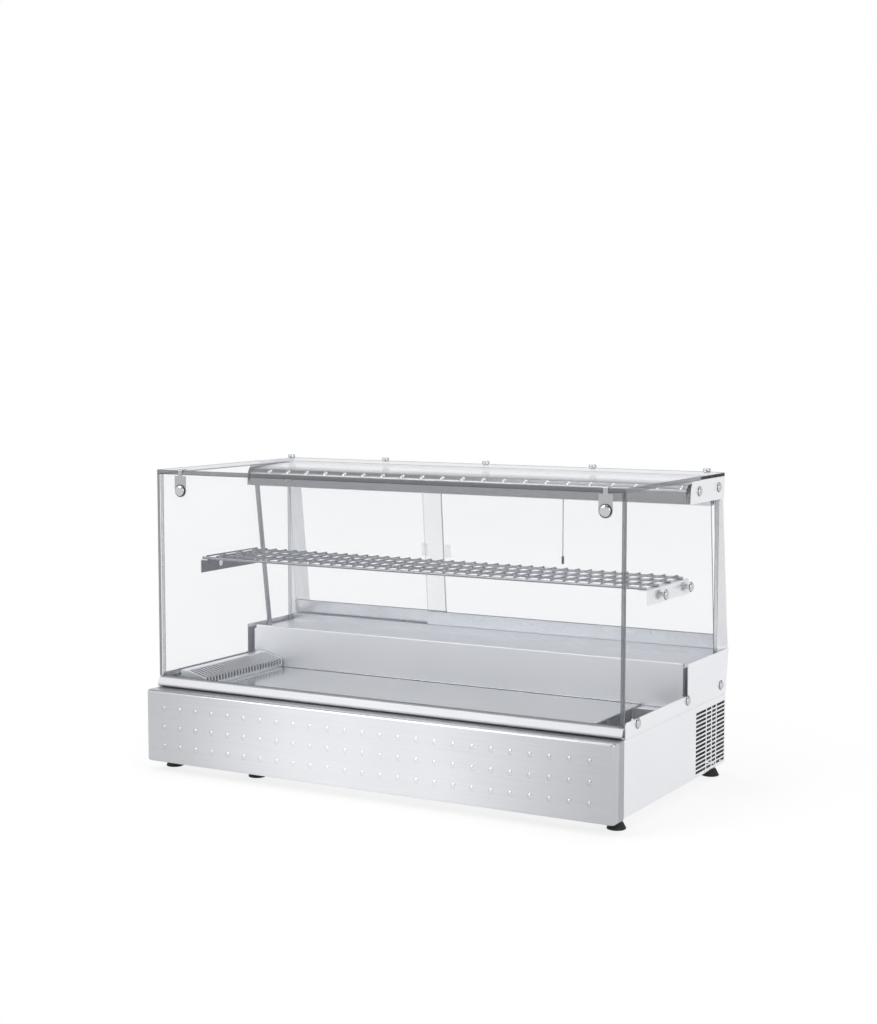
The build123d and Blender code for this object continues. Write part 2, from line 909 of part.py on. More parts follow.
def door(x_low, x_high, number, pull_x):
    """Pane, bottom rail with two glides, and pull, in the plane of track 0 or 1."""
    lift = 2.5
    base = Plane(
        origin=(0, at(door_track_depth + number * door_track_spacing), z_ledge + lift),
        x_dir=(1, 0, 0),
        z_dir=(0, -cos(radians(door_tilt)), -sin(radians(door_tilt))),
    )
    rail_low = track_height - lift + 1.5
    glass_low = rail_low + 9
    reach = (z_header - z_ledge - lift - 4) / cos(radians(door_tilt))
    pane = leaning_block(base, x_low, x_high, door_glass_thickness, 0, glass_low, reach)
    rail_top = rail_low + door_rail_height
    rail = leaning_block(base, x_low, x_high, door_rail_thickness, 0, rail_low, rail_top)
    rail -= leaning_block(base, x_low, x_high, door_glass_thickness, 0, glass_low, reach)
    glides = []
    glide_length = 40.0
    for x in (x_low + glide_length, x_high - 2 * glide_length):
        glides.append(leaning_block(base, x, x + glide_length, 3, 0, 0, rail_low))
    pull_width, pull_height, pull_depth = pull_size
    depth_shift = (door_glass_thickness + pull_depth) / 2
    pull_low = (shelf_height - 10 - z_ledge) / cos(radians(door_tilt))
    pull = leaning_block(
        base,
        pull_x - pull_width / 2,
        pull_x + pull_width / 2,
        pull_depth,
        depth_shift,
        pull_low,
        pull_low + pull_height,
    )
    pull = chamfer(pull.edges().filter_by(Axis.X).sort_by(Axis.Y)[-2:], 1.5)
    return pane, [rail, *glides], pull


def leaning_block(base, x_low, x_high, thickness, depth_shift, low, high):
    """Block in a leaning plane: along X, up the plane, and through it."""
    box = Box(x_high - x_low, high - low, thickness, align=(Align.MIN, Align.MIN, Align.CENTER))
    return base * Pos(x_low, low, -depth_shift) * box


# Axial fans: square frame with a bore, hub on struts, and a bladed rotor on a pin
def axial_fan(size, depth):
    """Frame and rotor, with the axis on +Z and the frame's back on the XY plane."""
    bore = size - 8
    hub = size * 0.36
    pin = 4.0
    running = 0.05
    frame = Box(size, size, depth, align=(Align.CENTER, Align.CENTER, Align.MIN))
    frame -= Cylinder(bore / 2, 3 * depth)
    base = Cylinder(hub / 2, 4, align=(Align.CENTER, Align.CENTER, Align.MIN))
    strut = 5.0
    for angle in (45, 135):
        arm = Box(bore + 3, strut, 3, align=(Align.CENTER, Align.CENTER, Align.MIN))
        base += Rot(0, 0, angle) * arm
    base += Cylinder(pin / 2, depth - 3, align=(Align.CENTER, Align.CENTER, Align.MIN))
    frame += base
    rotor = Pos(0, 0, 5) * Cylinder(hub / 2, depth - 6, align=(Align.CENTER, Align.CENTER, Align.MIN))
    blades = 5
    length = (bore - hub) / 2
    for number in range(blades):
        blade = Box(length, 2, depth - 3, align=(Align.MIN, Align.CENTER, Align.CENTER))
        tilted = Pos(hub / 2 - 1, 0, depth / 2 + 2) * Rot(52, 0, 0) * blade
        rotor += Rot(0, 0, number * 360 / blades) * tilted
    keep = Cylinder(bore / 2 - 1.5, depth - 6, align=(Align.CENTER, Align.CENTER, Align.MIN))
    rotor = rotor & (Pos(0, 0, 5) * keep)
    rotor -= Cylinder(pin / 2 + running, 3 * depth)
    return frame, rotor


def fan_at(pieces, x, v, z):
    """Turns a fan to blow along +X and puts its back at x."""
    return [Pos(x, at(v), z) * Rot(0, 90, 0) * piece for piece in pieces]


evaporator_fan_x = -(well_x - 65)
evaporator_fan_v = (well_front + well_back) / 2
evaporator_fan_z = z_well + gauge + evaporator_fan_size / 2
machine_front = partition_v + gauge
condenser_front = machine_front + 25.5
condenser_back = cabinet_depth - 10
condenser_v = (condenser_front + condenser_back) / 2
condenser_height = 128.0
condenser_x = half - 70
condenser_width = 32.0
condenser_fan_x = condenser_x - gauge - fan_depth
condenser_fan_z = z_floor + condenser_fan_size / 2


def fan_plates():
    """Sheets that close the air path round each fan."""
    x = evaporator_fan_x + fan_depth
    well = block(
        x, x + gauge, well_front + gauge, well_back - gauge, z_well + gauge, z_deck - 3 * gauge
    )
    bore = evaporator_fan_size - 8
    well -= rod(
        (x - 1, evaporator_fan_v, evaporator_fan_z), (x + 3, evaporator_fan_v, evaporator_fan_z), bore
    )
    x = condenser_x - gauge
    shroud = block(
        x, x + gauge, condenser_front - 6, condenser_back + 4, z_floor, z_floor + condenser_height
    )
    bore = condenser_fan_size - 8
    shroud -= rod((x - 1, condenser_v, condenser_fan_z), (x + 3, condenser_v, condenser_fan_z), bore)
    return [well, shroud]


def finned_coil(x_low, x_high, v_low, v_high, z_low, z_high, pitch):
    """Fin pack, combed along its top."""
    coil = block(x_low, x_high, v_low, v_high, z_low, z_high)
    along_x = x_high - x_low > v_high - v_low
    span = (x_high - x_low) if along_x else (v_high - v_low)
    comb = 5.0
    gap = pitch * 0.4
    for number in range(1, int(span / pitch)):
        offset = number * pitch
        if along_x:
            cut = (x_low + offset, x_low + offset + gap, v_low - 1, v_high + 1)
        else:
            cut = (x_low - 1, x_high + 1, v_low + offset, v_low + offset + gap)
        coil -= block(*cut, z_high - comb, z_high + 1)
    return coil


evaporator_x = (evaporator_fan_x + fan_depth + 45, evaporator_fan_x + fan_depth + 315)
evaporator_v = (well_front + 30, well_back - 30)
evaporator_z = (z_well + gauge, z_well + gauge + 78)


def evaporator_coil():
    return finned_coil(*evaporator_x, *evaporator_v, *evaporator_z, 12.0)


def condenser_coil():
    return finned_coil(
        condenser_x,
        condenser_x + condenser_width,
        condenser_front,
        condenser_back,
        z_floor,
        z_floor + condenser_height,
        10.0,
    )


compressor_x = condenser_x - 260
compressor_v = condenser_v - 3
mount_height = 8.0
foot_plate = 2.0
compressor_feet = [(-60.0, -42.0), (60.0, -42.0), (-60.0, 42.0), (60.0, 42.0)]


def compressor():
    """Welded steel pot with a seam, on a foot plate, with a terminal cover."""
    r = compressor_diameter / 2
    low = z_floor + mount_height
    plate = Pos(0, 0, low) * Box(150, 104, foot_plate, align=(Align.CENTER, Align.CENTER, Align.MIN))
    seam = compressor_height * 0.55
    outline = Polyline(
        (0, 0),
        (r - 18, 0),
        (r - 6, 6),
        (r, 22),
        (r, seam - 2),
        (r + 3, seam - 2),
        (r + 3, seam + 2),
        (r, seam + 2),
        (r, compressor_height - 30),
        (r - 8, compressor_height - 12),
        (r - 26, compressor_height),
        (0, compressor_height),
        close=True,
    )
    pot = Pos(0, 0, low) * revolve(Plane.XZ * make_face(outline), Axis.Z)
    terminal = Pos(-r - 4, 0, low + 34) * Box(24, 44, 40, align=(Align.CENTER, Align.CENTER, Align.MIN))
    body = plate + pot + terminal
    body = Pos(compressor_x, at(compressor_v), 0) * body
    for dx, dv in compressor_feet:
        x = compressor_x + dx
        v = compressor_v + dv
        body -= rod((x, v, low - 1), (x, v, low + foot_plate + 1), 10.0)
    return body


def compressor_mounts():
    """Rubber grommets, each with a neck through the foot plate and a cap above it."""
    grommets = []
    for dx, dv in compressor_feet:
        x = compressor_x + dx
        v = compressor_v + dv
        low = z_floor
        mount = rod((x, v, low), (x, v, low + mount_height), 20.0)
        mount += rod((x, v, low), (x, v, low + mount_height + foot_plate + seat + 3), 9.4)
        mount += rod(
            (x, v, low + mount_height + foot_plate + seat),
            (x, v, low + mount_height + foot_plate + seat + 3),
            15.0,
        )
        grommets.append(mount)
    return grommets


def pipe(points, diameter):
    """Tube along straight runs joined by arcs, through (x, v, z) points."""
    places = [(x, at(v), z) for x, v, z in points]
    route = FilletPolyline(*places, radius=diameter * 2)
    start = route.edges()[0]
    section = Plane(origin=start @ 0, z_dir=start % 0) * Circle(diameter / 2)
    return sweep(section, path=route)


filter_diameter = 18.0
filter_length = 90.0


def refrigerant_lines():
    """Discharge line, liquid line with its filter drier, and suction line."""
    r = compressor_diameter / 2
    pot_top = z_floor + mount_height + compressor_height
    gap = 0.2
    suction_v = rear_panel_depth + rib_width + 20
    hot = pipe(
        [
            (compressor_x + 20, compressor_v, pot_top + gap),
            (compressor_x + 20, compressor_v, pot_top + 24),
            (condenser_x + 16, compressor_v, pot_top + 24),
            (condenser_x + 16, compressor_v, z_floor + condenser_height + gap),
        ],
        line_diameter,
    )
    drier_x = compressor_x + r + 40
    drier_v = partition_v + gauge + filter_diameter / 2 + 4
    drier = rod(
        (drier_x, drier_v, z_floor), (drier_x, drier_v, z_floor + filter_length), filter_diameter
    )
    drier_top = z_floor + filter_length
    liquid = pipe(
        [
            (drier_x, drier_v, drier_top + gap),
            (drier_x, drier_v, drier_top + 20),
            (condenser_x + 16, drier_v, drier_top + 20),
            (condenser_x + 16, condenser_front - gap, drier_top + 20),
        ],
        line_diameter,
    )
    suction = pipe(
        [
            (compressor_x - 20, compressor_v, pot_top + gap),
            (compressor_x - 20, compressor_v, pot_top + 20),
            (compressor_x - 20, suction_v, pot_top + 20),
            (compressor_x - 20, suction_v, z_seam - 20),
            (compressor_x - 20, partition_v + gauge + gap, z_seam - 20),
        ],
        line_diameter + 2,
    )
    return [hot, drier, liquid, suction]


tray_x = (-half + 60, -half + 260)
tray_v = (machine_front + 32, cabinet_depth - 25)
tray_height = 30.0


def drain_pipe():
    start = (drain_x, well_back - gauge, drain_z)
    end = (drain_x, tray_v[0] + 20, drain_z)
    return rod(start, end, drain_diameter) - rod(start, end, drain_diameter - 3)


def drip_tray():
    wall = 1.5
    tray = block(*tray_x, *tray_v, z_floor, z_floor + tray_height)
    x_low, x_high = tray_x
    v_low, v_high = tray_v
    return tray - block(
        x_low + wall, x_high - wall, v_low + wall, v_high - wall, z_floor + wall, z_floor + 2 * tray_height
    )


# Service panel at the back, with louvres, switches, thermostat and cord inlet
panel_x = plate_in - 2.0
z_panel = foot_height + 3
switch_x = (-half + 80, -half + 120)
switch_z = z_seam - 40
switch_opening = (18.0, 26.0)
knob_x = -half + 180
gland_x = -half + 60
gland_z = z_seam - 105
gland_hole = 16.0
panel_screw_z = [z_panel + 15, (z_panel + z_seam) / 2, z_seam - 15]
panel_screw_diameter = 4.0


def service_panel():
    back = cabinet_depth + rear_lean
    path = [
        (cabinet_depth, z_panel),
        (cabinet_depth, z_seam),
        (back, z_rear),
        (back - 11, z_rear),
        (back - 11, z_ledge),
    ]
    panel = folded_along_x(path, -panel_x, panel_x, 1)
    notch = block(
        half - hem_fold - gauge, half, cabinet_depth - 5, cabinet_depth + 5, 0, z_floor + hem_fold
    )
    panel -= notch + mirrored(notch)
    width, height = switch_opening
    for x in switch_x:
        panel -= block(
            x - width / 2 - 1,
            x + width / 2 + 1,
            cabinet_depth - 5,
            cabinet_depth + 5,
            switch_z - height / 2 - 1,
            switch_z + height / 2 + 1,
        )
    panel -= through_panel(knob_x, switch_z, 11.0)
    panel -= through_panel(gland_x, gland_z, gland_hole + hole_clearance)
    for side in (-1, 1):
        for z in panel_screw_z:
            panel -= through_panel(side * screw_x, z, panel_screw_diameter + hole_clearance)
    for column in range(4):
        for row in range(8):
            x = -40 + column * 130
            z = z_panel + 20 + row * 14
            panel -= block(x, x + 100, cabinet_depth - 5, cabinet_depth + 5, z, z + 6)
    return panel


screw_x = plate_in - 6.5


def through_panel(x, z, diameter):
    return rod((x, cabinet_depth - 5, z), (x, cabinet_depth + 5, z), diameter)


def panel_screws():
    screws = []
    for side in (-1, 1):
        for z in panel_screw_z:
            x = side * screw_x
            head = rod((x, cabinet_depth, z), (x, cabinet_depth + 2.5, z), 8.0)
            shank = rod((x, cabinet_depth - 8, z), (x, cabinet_depth, z), panel_screw_diameter)
            screws.append(head + shank)
    return screws


def terminal_box():
    x = 60.0
    front = compressor_v - 50
    back = compressor_v + 50
    wall = 2.0
    height = 60.0
    base = block(-x, x, front, back, z_floor, z_floor + height)
    lid = block(
        -x - wall, x + wall, front - wall, back + wall, z_floor + height - 4, z_floor + height + 10
    )
    return chamfer((base + lid).edges().filter_by(Axis.Z), 1.5)


def cable_gland():
    """Hexagon body outside, sleeve through the panel, and a nut behind it."""
    bore = 8.0
    depth = 9.0
    hexagon = extrude(RegularPolygon(12, 6, major_radius=False), depth)
    ring = Pos(0, 0, -gauge - 8) * Cylinder(
        gland_hole / 2, gauge + 8, align=(Align.CENTER, Align.CENTER, Align.MIN)
    )
    nut = Pos(0, 0, -gauge - 6) * extrude(RegularPolygon(12, 6, major_radius=False), 6)
    dome = Pos(0, 0, depth) * Cone(10, 7, 6, align=(Align.CENTER, Align.CENTER, Align.MIN))
    gland = hexagon + ring + nut + dome - Cylinder(bore / 2, 80)
    return Pos(gland_x, at(cabinet_depth), gland_z) * Rot(-90, 0, 0) * gland


rocker_tilt = 8.0
rocker_pin = 3.0
rocker_back = 3.0


def switch_housings():
    """Bezel and open box for each rocker, with a fixed pivot pin across it."""
    width, height = switch_opening
    rim = 2.0
    depth = 16.0
    housings = []
    for x in switch_x:
        body = block(
            x - width / 2 - 0.7,
            x + width / 2 + 0.7,
            cabinet_depth - depth,
            cabinet_depth,
            switch_z - height / 2 - 0.7,
            switch_z + height / 2 + 0.7,
        )
        body += block(
            x - width / 2 - 3,
            x + width / 2 + 3,
            cabinet_depth,
            cabinet_depth + rim,
            switch_z - height / 2 - 3,
            switch_z + height / 2 + 3,
        )
        body -= block(
            x - width / 2 + 1,
            x + width / 2 - 1,
            cabinet_depth - depth + 2,
            cabinet_depth + rim + 1,
            switch_z - height / 2 + 1,
            switch_z + height / 2 - 1,
        )
        v = cabinet_depth - rocker_back
        body += rod((x - width / 2, v, switch_z), (x + width / 2, v, switch_z), rocker_pin)
        housings.append(body)
    return housings


def rocker(x):
    """See-saw key on the pivot pin, resting with its lower half pressed."""
    width, height = switch_opening
    half_height = height / 2 - 3
    outline = [(-4, -half_height), (-4, half_height), (5, half_height), (3, 0), (5, -half_height)]
    face = make_face(Polyline(*outline, close=True))
    key = extrude(Plane.YZ * face, width / 2 - 1.5, both=True)
    key = Rot(-rocker_tilt, 0, 0) * key
    key = Pos(x, at(cabinet_depth - rocker_back), switch_z) * key
    v = cabinet_depth - rocker_back
    return key - rod((x - width, v, switch_z), (x + width, v, switch_z), rocker_pin + 0.1)


shaft_diameter = 6.0


def thermostat_body():
    body = block(knob_x - 18, knob_x + 18, cabinet_depth - 34, cabinet_depth - 6, switch_z - 18, switch_z + 18)
    body += rod((knob_x, cabinet_depth - 10, switch_z), (knob_x, cabinet_depth + 1, switch_z), 10.6)
    nut = Pos(knob_x, at(cabinet_depth - gauge), switch_z) * Rot(90, 0, 0) * extrude(
        RegularPolygon(7, 6, major_radius=False), 4
    )
    body += nut
    return body - rod(
        (knob_x, cabinet_depth - 24, switch_z), (knob_x, cabinet_depth + 2, switch_z), shaft_diameter + 0.1
    )


def thermostat_knob():
    """Shaft and fluted knob with a pointer ridge."""
    face = cabinet_depth + knob_reach - 2
    knob = rod((knob_x, cabinet_depth + 2, switch_z), (knob_x, face, switch_z), 36.0)
    flutes = 12
    for number in range(flutes):
        angle = 2 * pi * (number + 0.5) / flutes
        x = knob_x + 19.5 * cos(angle)
        z = switch_z + 19.5 * sin(angle)
        knob -= rod((x, cabinet_depth + 5, z), (x, cabinet_depth + 20, z), 7.0)
    knob += block(
        knob_x - 1.5,
        knob_x + 1.5,
        cabinet_depth + knob_reach - 3,
        cabinet_depth + knob_reach,
        switch_z,
        switch_z + 15,
    )
    return knob + rod(
        (knob_x, cabinet_depth - 23, switch_z), (knob_x, cabinet_depth + 3, switch_z), shaft_diameter
    )


# Write every piece
save("base_cabinet", base_cabinet())
save("front_panel", front_panel())
save("feet", *feet())
save("insulation", insulation())
save("well_liner", well_liner())
save("partition", partition())
save("deck_rail", deck_rail())
save("deck_plate", deck_plate())
save("return_grille", return_grille())
save("rear_panel", rear_panel())
save("machine_cover", machine_cover())

right_plate = side_plate()
save("side_plate_right", right_plate)
save("side_plate_left", mirrored(right_plate))
save("glass_gaskets", *glass_gaskets())
right_glass = glass_side()
save("glass_right", right_glass)
save("glass_left", mirrored(right_glass))
save("glass_front", glass_front())
save("glass_top", glass_top())
save("glass_clips", *[glass_clip(x) for x in clip_places])

save("header_channel", header_channel())
save("header_cover", header_cover())
right_end = header_end_plate()
save("header_end_plates", right_end, mirrored(right_end))
save("cover_knobs", *cover_knobs())
save("lamp_housing", lamp_housing())
save("lamp_diffuser", lamp_diffuser())
save("conduit_tube", conduit_tube())
save("air_probe", air_probe())

bolts = [side_bolt(v, z, half, glass_in) for v, z in strip_bolts[:2]]
bolts += [side_bolt(v, z, half, plate_in - gauge) for v, z in strip_bolts[2:]]
bolts += [side_bolt(v, z, half, header_x - gauge) for v, z in header_bolts]
bolts += [side_bolt(v, z, plate_in, glass_in - bracket_gauge) for v, z in shelf_bolts]
bolts += [mirrored(bolt) for bolt in bolts]
save("dome_bolts", *bolts, *[clip_screw(x) for x in clip_places])

right_bracket = shelf_bracket()
save("shelf_brackets", right_bracket, mirrored(right_bracket))
save("wire_shelf", wire_shelf())
right_cheek = cheek()
save("cheek_right", right_cheek)
save("cheek_left", mirrored(right_cheek))
save("door_tracks", *door_tracks())

right_door = door(door_x - wide_door, door_x, 0, door_x - wide_door + door_overlap + 14)
left_door = door(-door_x, narrow_door - door_x, 1, narrow_door - door_x - door_overlap - 10)
for side, (pane, rail, pull) in (("right", right_door), ("left", left_door)):
    save(f"door_{side}_glass", pane)
    save(f"door_{side}_rail", *rail)
    save(f"door_{side}_pull", pull)

cold_fan = fan_at(
    axial_fan(evaporator_fan_size, fan_depth), evaporator_fan_x, evaporator_fan_v, evaporator_fan_z
)
save("evaporator_fan_frame", cold_fan[0])
save("evaporator_fan_rotor", cold_fan[1])
hot_fan = fan_at(
    axial_fan(condenser_fan_size, fan_depth), condenser_fan_x, condenser_v, condenser_fan_z
)
save("condenser_fan_frame", hot_fan[0])
save("condenser_fan_rotor", hot_fan[1])
save("fan_plates", *fan_plates())
save("evaporator_coil", evaporator_coil())
save("condenser_coil", condenser_coil())
save("compressor", compressor())
save("compressor_mounts", *compressor_mounts())
save("refrigerant_lines", *flat(refrigerant_lines()))
save("drain_pipe", drain_pipe())
save("drip_tray", drip_tray())

save("service_panel", service_panel())
save("panel_screws", *panel_screws())
save("terminal_box", terminal_box())
save("cable_gland", cable_gland())
save("switch_housings", *switch_housings())
save("power_rocker", rocker(switch_x[0]))
save("lamp_rocker", rocker(switch_x[1]))
save("thermostat_body", thermostat_body())
save("thermostat_knob", thermostat_knob())
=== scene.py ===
"""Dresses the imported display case: glass panes, brushed stainless, wire shelf and fittings."""

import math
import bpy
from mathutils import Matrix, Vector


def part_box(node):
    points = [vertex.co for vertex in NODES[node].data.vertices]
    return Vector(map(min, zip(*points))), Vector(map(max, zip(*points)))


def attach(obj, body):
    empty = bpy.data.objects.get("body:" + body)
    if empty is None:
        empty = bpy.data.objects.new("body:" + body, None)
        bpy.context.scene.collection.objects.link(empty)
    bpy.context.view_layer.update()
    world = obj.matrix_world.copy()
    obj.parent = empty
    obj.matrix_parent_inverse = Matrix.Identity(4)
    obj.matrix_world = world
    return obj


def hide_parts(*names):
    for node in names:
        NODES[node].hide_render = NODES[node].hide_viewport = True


bl_info = {
    "name": "Countertop Display Case",
    "version": (1, 0, 0),
    "blender": (4, 5, 0),
    "location": "View3D > Sidebar > Display Case",
    "description": "Finishes a refrigerated countertop display case on its construction frame",
    "category": "Object",
}

import bmesh
import bpy
from mathutils import Matrix, Vector

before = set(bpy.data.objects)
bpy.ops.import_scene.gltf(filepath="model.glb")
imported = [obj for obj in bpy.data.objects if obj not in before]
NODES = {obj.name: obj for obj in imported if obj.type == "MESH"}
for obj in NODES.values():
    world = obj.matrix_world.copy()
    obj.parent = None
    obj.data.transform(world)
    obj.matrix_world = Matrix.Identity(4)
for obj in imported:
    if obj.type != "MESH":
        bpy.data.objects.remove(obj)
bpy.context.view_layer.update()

MM = 0.001
UP = Vector((0, 0, 1))
TO_FRONT = Vector((0, -1, 0))
TO_RIGHT = Vector((1, 0, 0))
TO_LEFT = Vector((-1, 0, 0))

# a face looks a way when its normal's part that way is more than this
SQUARE_ON = 0.9
# points of one mesh that are nearer than this are one point
SAME_POINT = 0.001 * MM
# an edge that turns more than this stays crisp
CREASE = math.radians(35)

# Outlines of turned pieces, as shares of their radius and height, from the foot up

# a short blend from the sheet, then a shallow crown
STUD_SHAPE = [(1.1, -0.03), (0.95, 0.08), (0.78, 0.45), (0.6, 0.82), (0.3, 0.97), (0, 1)]
# a neck, a rounded grip and a slightly dished top
KNOB_SHAPE = [
    (0, 0),
    (0.75, 0),
    (0.75, 0.25),
    (0.95, 0.33),
    (1, 0.45),
    (1, 0.75),
    (0.95, 0.88),
    (0.82, 0.97),
    (0.7, 1),
    (0, 1),
]
# a broad rounded sole, a cone and a ring under the cabinet
FOOT_SHAPE = [
    (0, 0),
    (0.93, 0),
    (0.985, 0.03),
    (1, 0.08),
    (1, 0.15),
    (0.97, 0.2),
    (0.66, 0.78),
    (0.6, 0.84),
    (0.54, 0.88),
    (0.53, 1),
    (0, 1),
]

# Sides of round pieces, by how large they show
ROD_SIDES = 12
STUD_SIDES = 16
PROBE_SIDES = 20
KNOB_SIDES = 24
BOLT_SIDES = 28
FOOT_SIDES = 32


def linear(code):
    """Linear RGBA of an sRGB hex colour such as D8DADD."""
    channels = [int(code[place : place + 2], 16) / 255 for place in (0, 2, 4)]
    curve = [c / 12.92 if c <= 0.04045 else ((c + 0.055) / 1.055) ** 2.4 for c in channels]
    return (*curve, 1.0)


def colour(name, description, code):
    return bpy.props.FloatVectorProperty(
        name=name, description=description, default=linear(code), size=4, min=0, max=1, subtype="COLOR"
    )


def length(name, description, millimetres):
    return bpy.props.FloatProperty(
        name=name, description=description, default=millimetres * MM, min=0, unit="LENGTH"
    )


class CaseSizes(bpy.types.PropertyGroup):
    stud_diameter: length("Stud diameter", "Pressed studs of the front panel and header", 10)
    stud_rise: length("Stud rise", "How far a stud stands out", 1.8)
    stud_pitch: length("Stud pitch", "Distance between the front panel's stud columns", 38.1)
    stud_row_pitch: length("Stud row pitch", "Distance between the front panel's stud rows", 37)
    header_stud_pitch: length("Header stud pitch", "Distance between the header's studs", 46.2)
    header_stud_shift: length("Header stud shift", "How far the row of studs stands to the right", 18)
    header_roll: length("Header roll", "Radius of the header's rolled front edge", 16)
    corner_radius: length("Corner radius", "Upright corners of the front panel", 9)
    fold_radius: length("Fold radius", "Outside radius of a folded edge", 5)
    sheet: length("Sheet", "Thickness of the stainless sheet", 1.5)
    arris: length("Arris", "Ground edge of a glass pane", 0.8)
    long_wire: length("Long wire", "Diameter of the shelf's long wires", 5.4)
    cross_wire: length("Cross wire", "Diameter of the shelf's cross wires", 3.4)
    cross_pitch: length("Cross wire pitch", "Distance between the shelf's cross wires", 25)
    tape: length("Glazing tape", "Height of the dark tape at the foot of a side glass", 4)


class CaseFinish(bpy.types.PropertyGroup):
    steel: colour("Stainless", "Brushed stainless sheet", "EFF0F3")
    steel_dark: colour("Stainless shade", "Darker streaks of the brushing", "D3D5D9")
    # the front panel's darker streaks, and the painted shade at its ends
    panel_dark: colour("Panel shade", "Streaks and ends of the front panel", "BBBDC1")
    # painted shade: the deck rail's stainless and its streaks, darker than the rest
    rail: colour("Deck rail", "Stainless of the rail under the front glass", "CFD0D3")
    rail_dark: colour("Deck rail shade", "Darker streaks of the rail", "BCBDC1")
    # painted shade: the deck's stainless, darker than the rest
    deck: colour("Deck", "Bright rolled stainless of the deck", "C2C3C6")
    # painted shade: the grey of the header's roll, and the darker tone of the deck
    header: colour("Header", "Shaded stainless of the header", "8D8E90")
    bright: colour("Bright metal", "Polished bolts and knobs", "C4C5C7")
    wire: colour("Shelf wire", "Chromed wires of the shelf", "8B8D90")
    aluminium: colour("Aluminium", "Anodised door rails and tracks", "D6D8DC")
    edge: colour("Glass edge", "Polished edge of the glass", "5B6064")
    # painted reflection of the white backdrop on the glass edges that face it
    painted_pale_edge: colour("Pale glass edge", "Edges that look away from the shop", "C2C8CB")
    glass: colour("Glass", "Tint of the panes", "DFE6F0")
    rubber: colour("Rubber", "Feet and washers", "1A1A1B")
    plastic: colour("Black plastic", "Fans, switches and knobs", "1E1F21")


def sizes():
    return bpy.context.scene.case_sizes


def finish():
    return bpy.context.scene.case_finish


# Materials


def put(tree, kind, inputs=None, **settings):
    """Adds a node: inputs gives each socket a value, or links it to another node's output."""
    node = tree.nodes.new(kind)
    for name, value in settings.items():
        setattr(node, name, value)
    for socket, value in (inputs or {}).items():
        if isinstance(value, bpy.types.NodeSocket):
            tree.links.new(value, node.inputs[socket])
        else:
            node.inputs[socket].default_value = value
    return node


def start_material(name):
    """An empty node material, with the object's coordinates ready to use."""
    material = bpy.data.materials.new(name)
    material.use_nodes = True
    tree = material.node_tree
    tree.nodes.clear()
    place = put(tree, "ShaderNodeTexCoord").outputs["Object"]
    return material, tree, place


def close_material(tree, inputs):
    """Adds the surface's shader with these values and links, and the output."""
    shader = put(tree, "ShaderNodeBsdfPrincipled", inputs)
    put(tree, "ShaderNodeOutputMaterial", {"Surface": shader.outputs["BSDF"]})


def brushed_stainless(name, grain, light, shade, roughness=0.3, painted_end_shade=0.0):
    """304 stainless sheet, belt brushed along one axis: long faint streaks and a soft sheen, and
    painted shade towards the ends of a wide sheet, as much as the last argument gives.
    """
    material, tree, place = start_material(name)
    # the belt leaves lines 0.3 mm apart, too fine to show: they are drawn 1.2 mm apart
    line_pitch = 1.2 * MM
    line_length = 160 * MM
    scale = [1 / line_pitch] * 3
    scale["XYZ".index(grain)] = 1 / line_length
    stretched = put(tree, "ShaderNodeMapping", {"Vector": place, "Scale": scale})
    streaks = put(
        tree,
        "ShaderNodeTexNoise",
        {"Vector": stretched.outputs["Vector"], "Scale": 1.0, "Detail": 3.0, "Roughness": 0.6},
    ).outputs["Fac"]
    # rolled sheet changes its tone slowly, over some 200 mm
    cloud = 200 * MM
    clouds = put(tree, "ShaderNodeTexNoise", {"Vector": place, "Scale": 1 / cloud, "Detail": 1.0})
    blend = put(
        tree, "ShaderNodeMath", {0: streaks, 1: clouds.outputs["Fac"]}, operation="MULTIPLY"
    )
    # painted shade: a wide sheet is light for 120 mm either side of its middle, and by its ends at
    # 500 mm takes the share of the darker tone that the last argument gives
    sideways = put(tree, "ShaderNodeSeparateXYZ", {"Vector": place}).outputs["X"]
    from_middle = put(tree, "ShaderNodeMath", {0: sideways}, operation="ABSOLUTE").outputs[0]
    ends = put(
        tree,
        "ShaderNodeMapRange",
        {"Value": from_middle, "From Min": 120 * MM, "From Max": 500 * MM, "To Max": painted_end_shade},
        interpolation_type="SMOOTHSTEP",
    )
    # streaks and clouds take up to 0.6 of the darker tone, on top of what the ends take
    shaded = put(
        tree,
        "ShaderNodeMath",
        {0: blend.outputs[0], 1: 0.6, 2: ends.outputs["Result"]},
        operation="MULTIPLY_ADD",
        use_clamp=True,
    )
    tone = put(
        tree,
        "ShaderNodeMix",
        {"Factor": shaded.outputs[0], "A": light, "B": shade},
        data_type="RGBA",
    )
    # a streak is up to 15 percent glossier or duller than the sheet
    rough = put(
        tree,
        "ShaderNodeMapRange",
        {"Value": streaks, "To Min": roughness * 0.85, "To Max": roughness * 1.15},
    )
    relief = put(
        tree, "ShaderNodeBump", {"Height": streaks, "Strength": 0.04, "Distance": 0.3 * MM}
    )
    close_material(
        tree,
        {
            "Base Color": tone.outputs[2],
            "Metallic": 0.85,
            "Roughness": rough.outputs["Result"],
            "Normal": relief.outputs["Normal"],
        },
    )
    return material


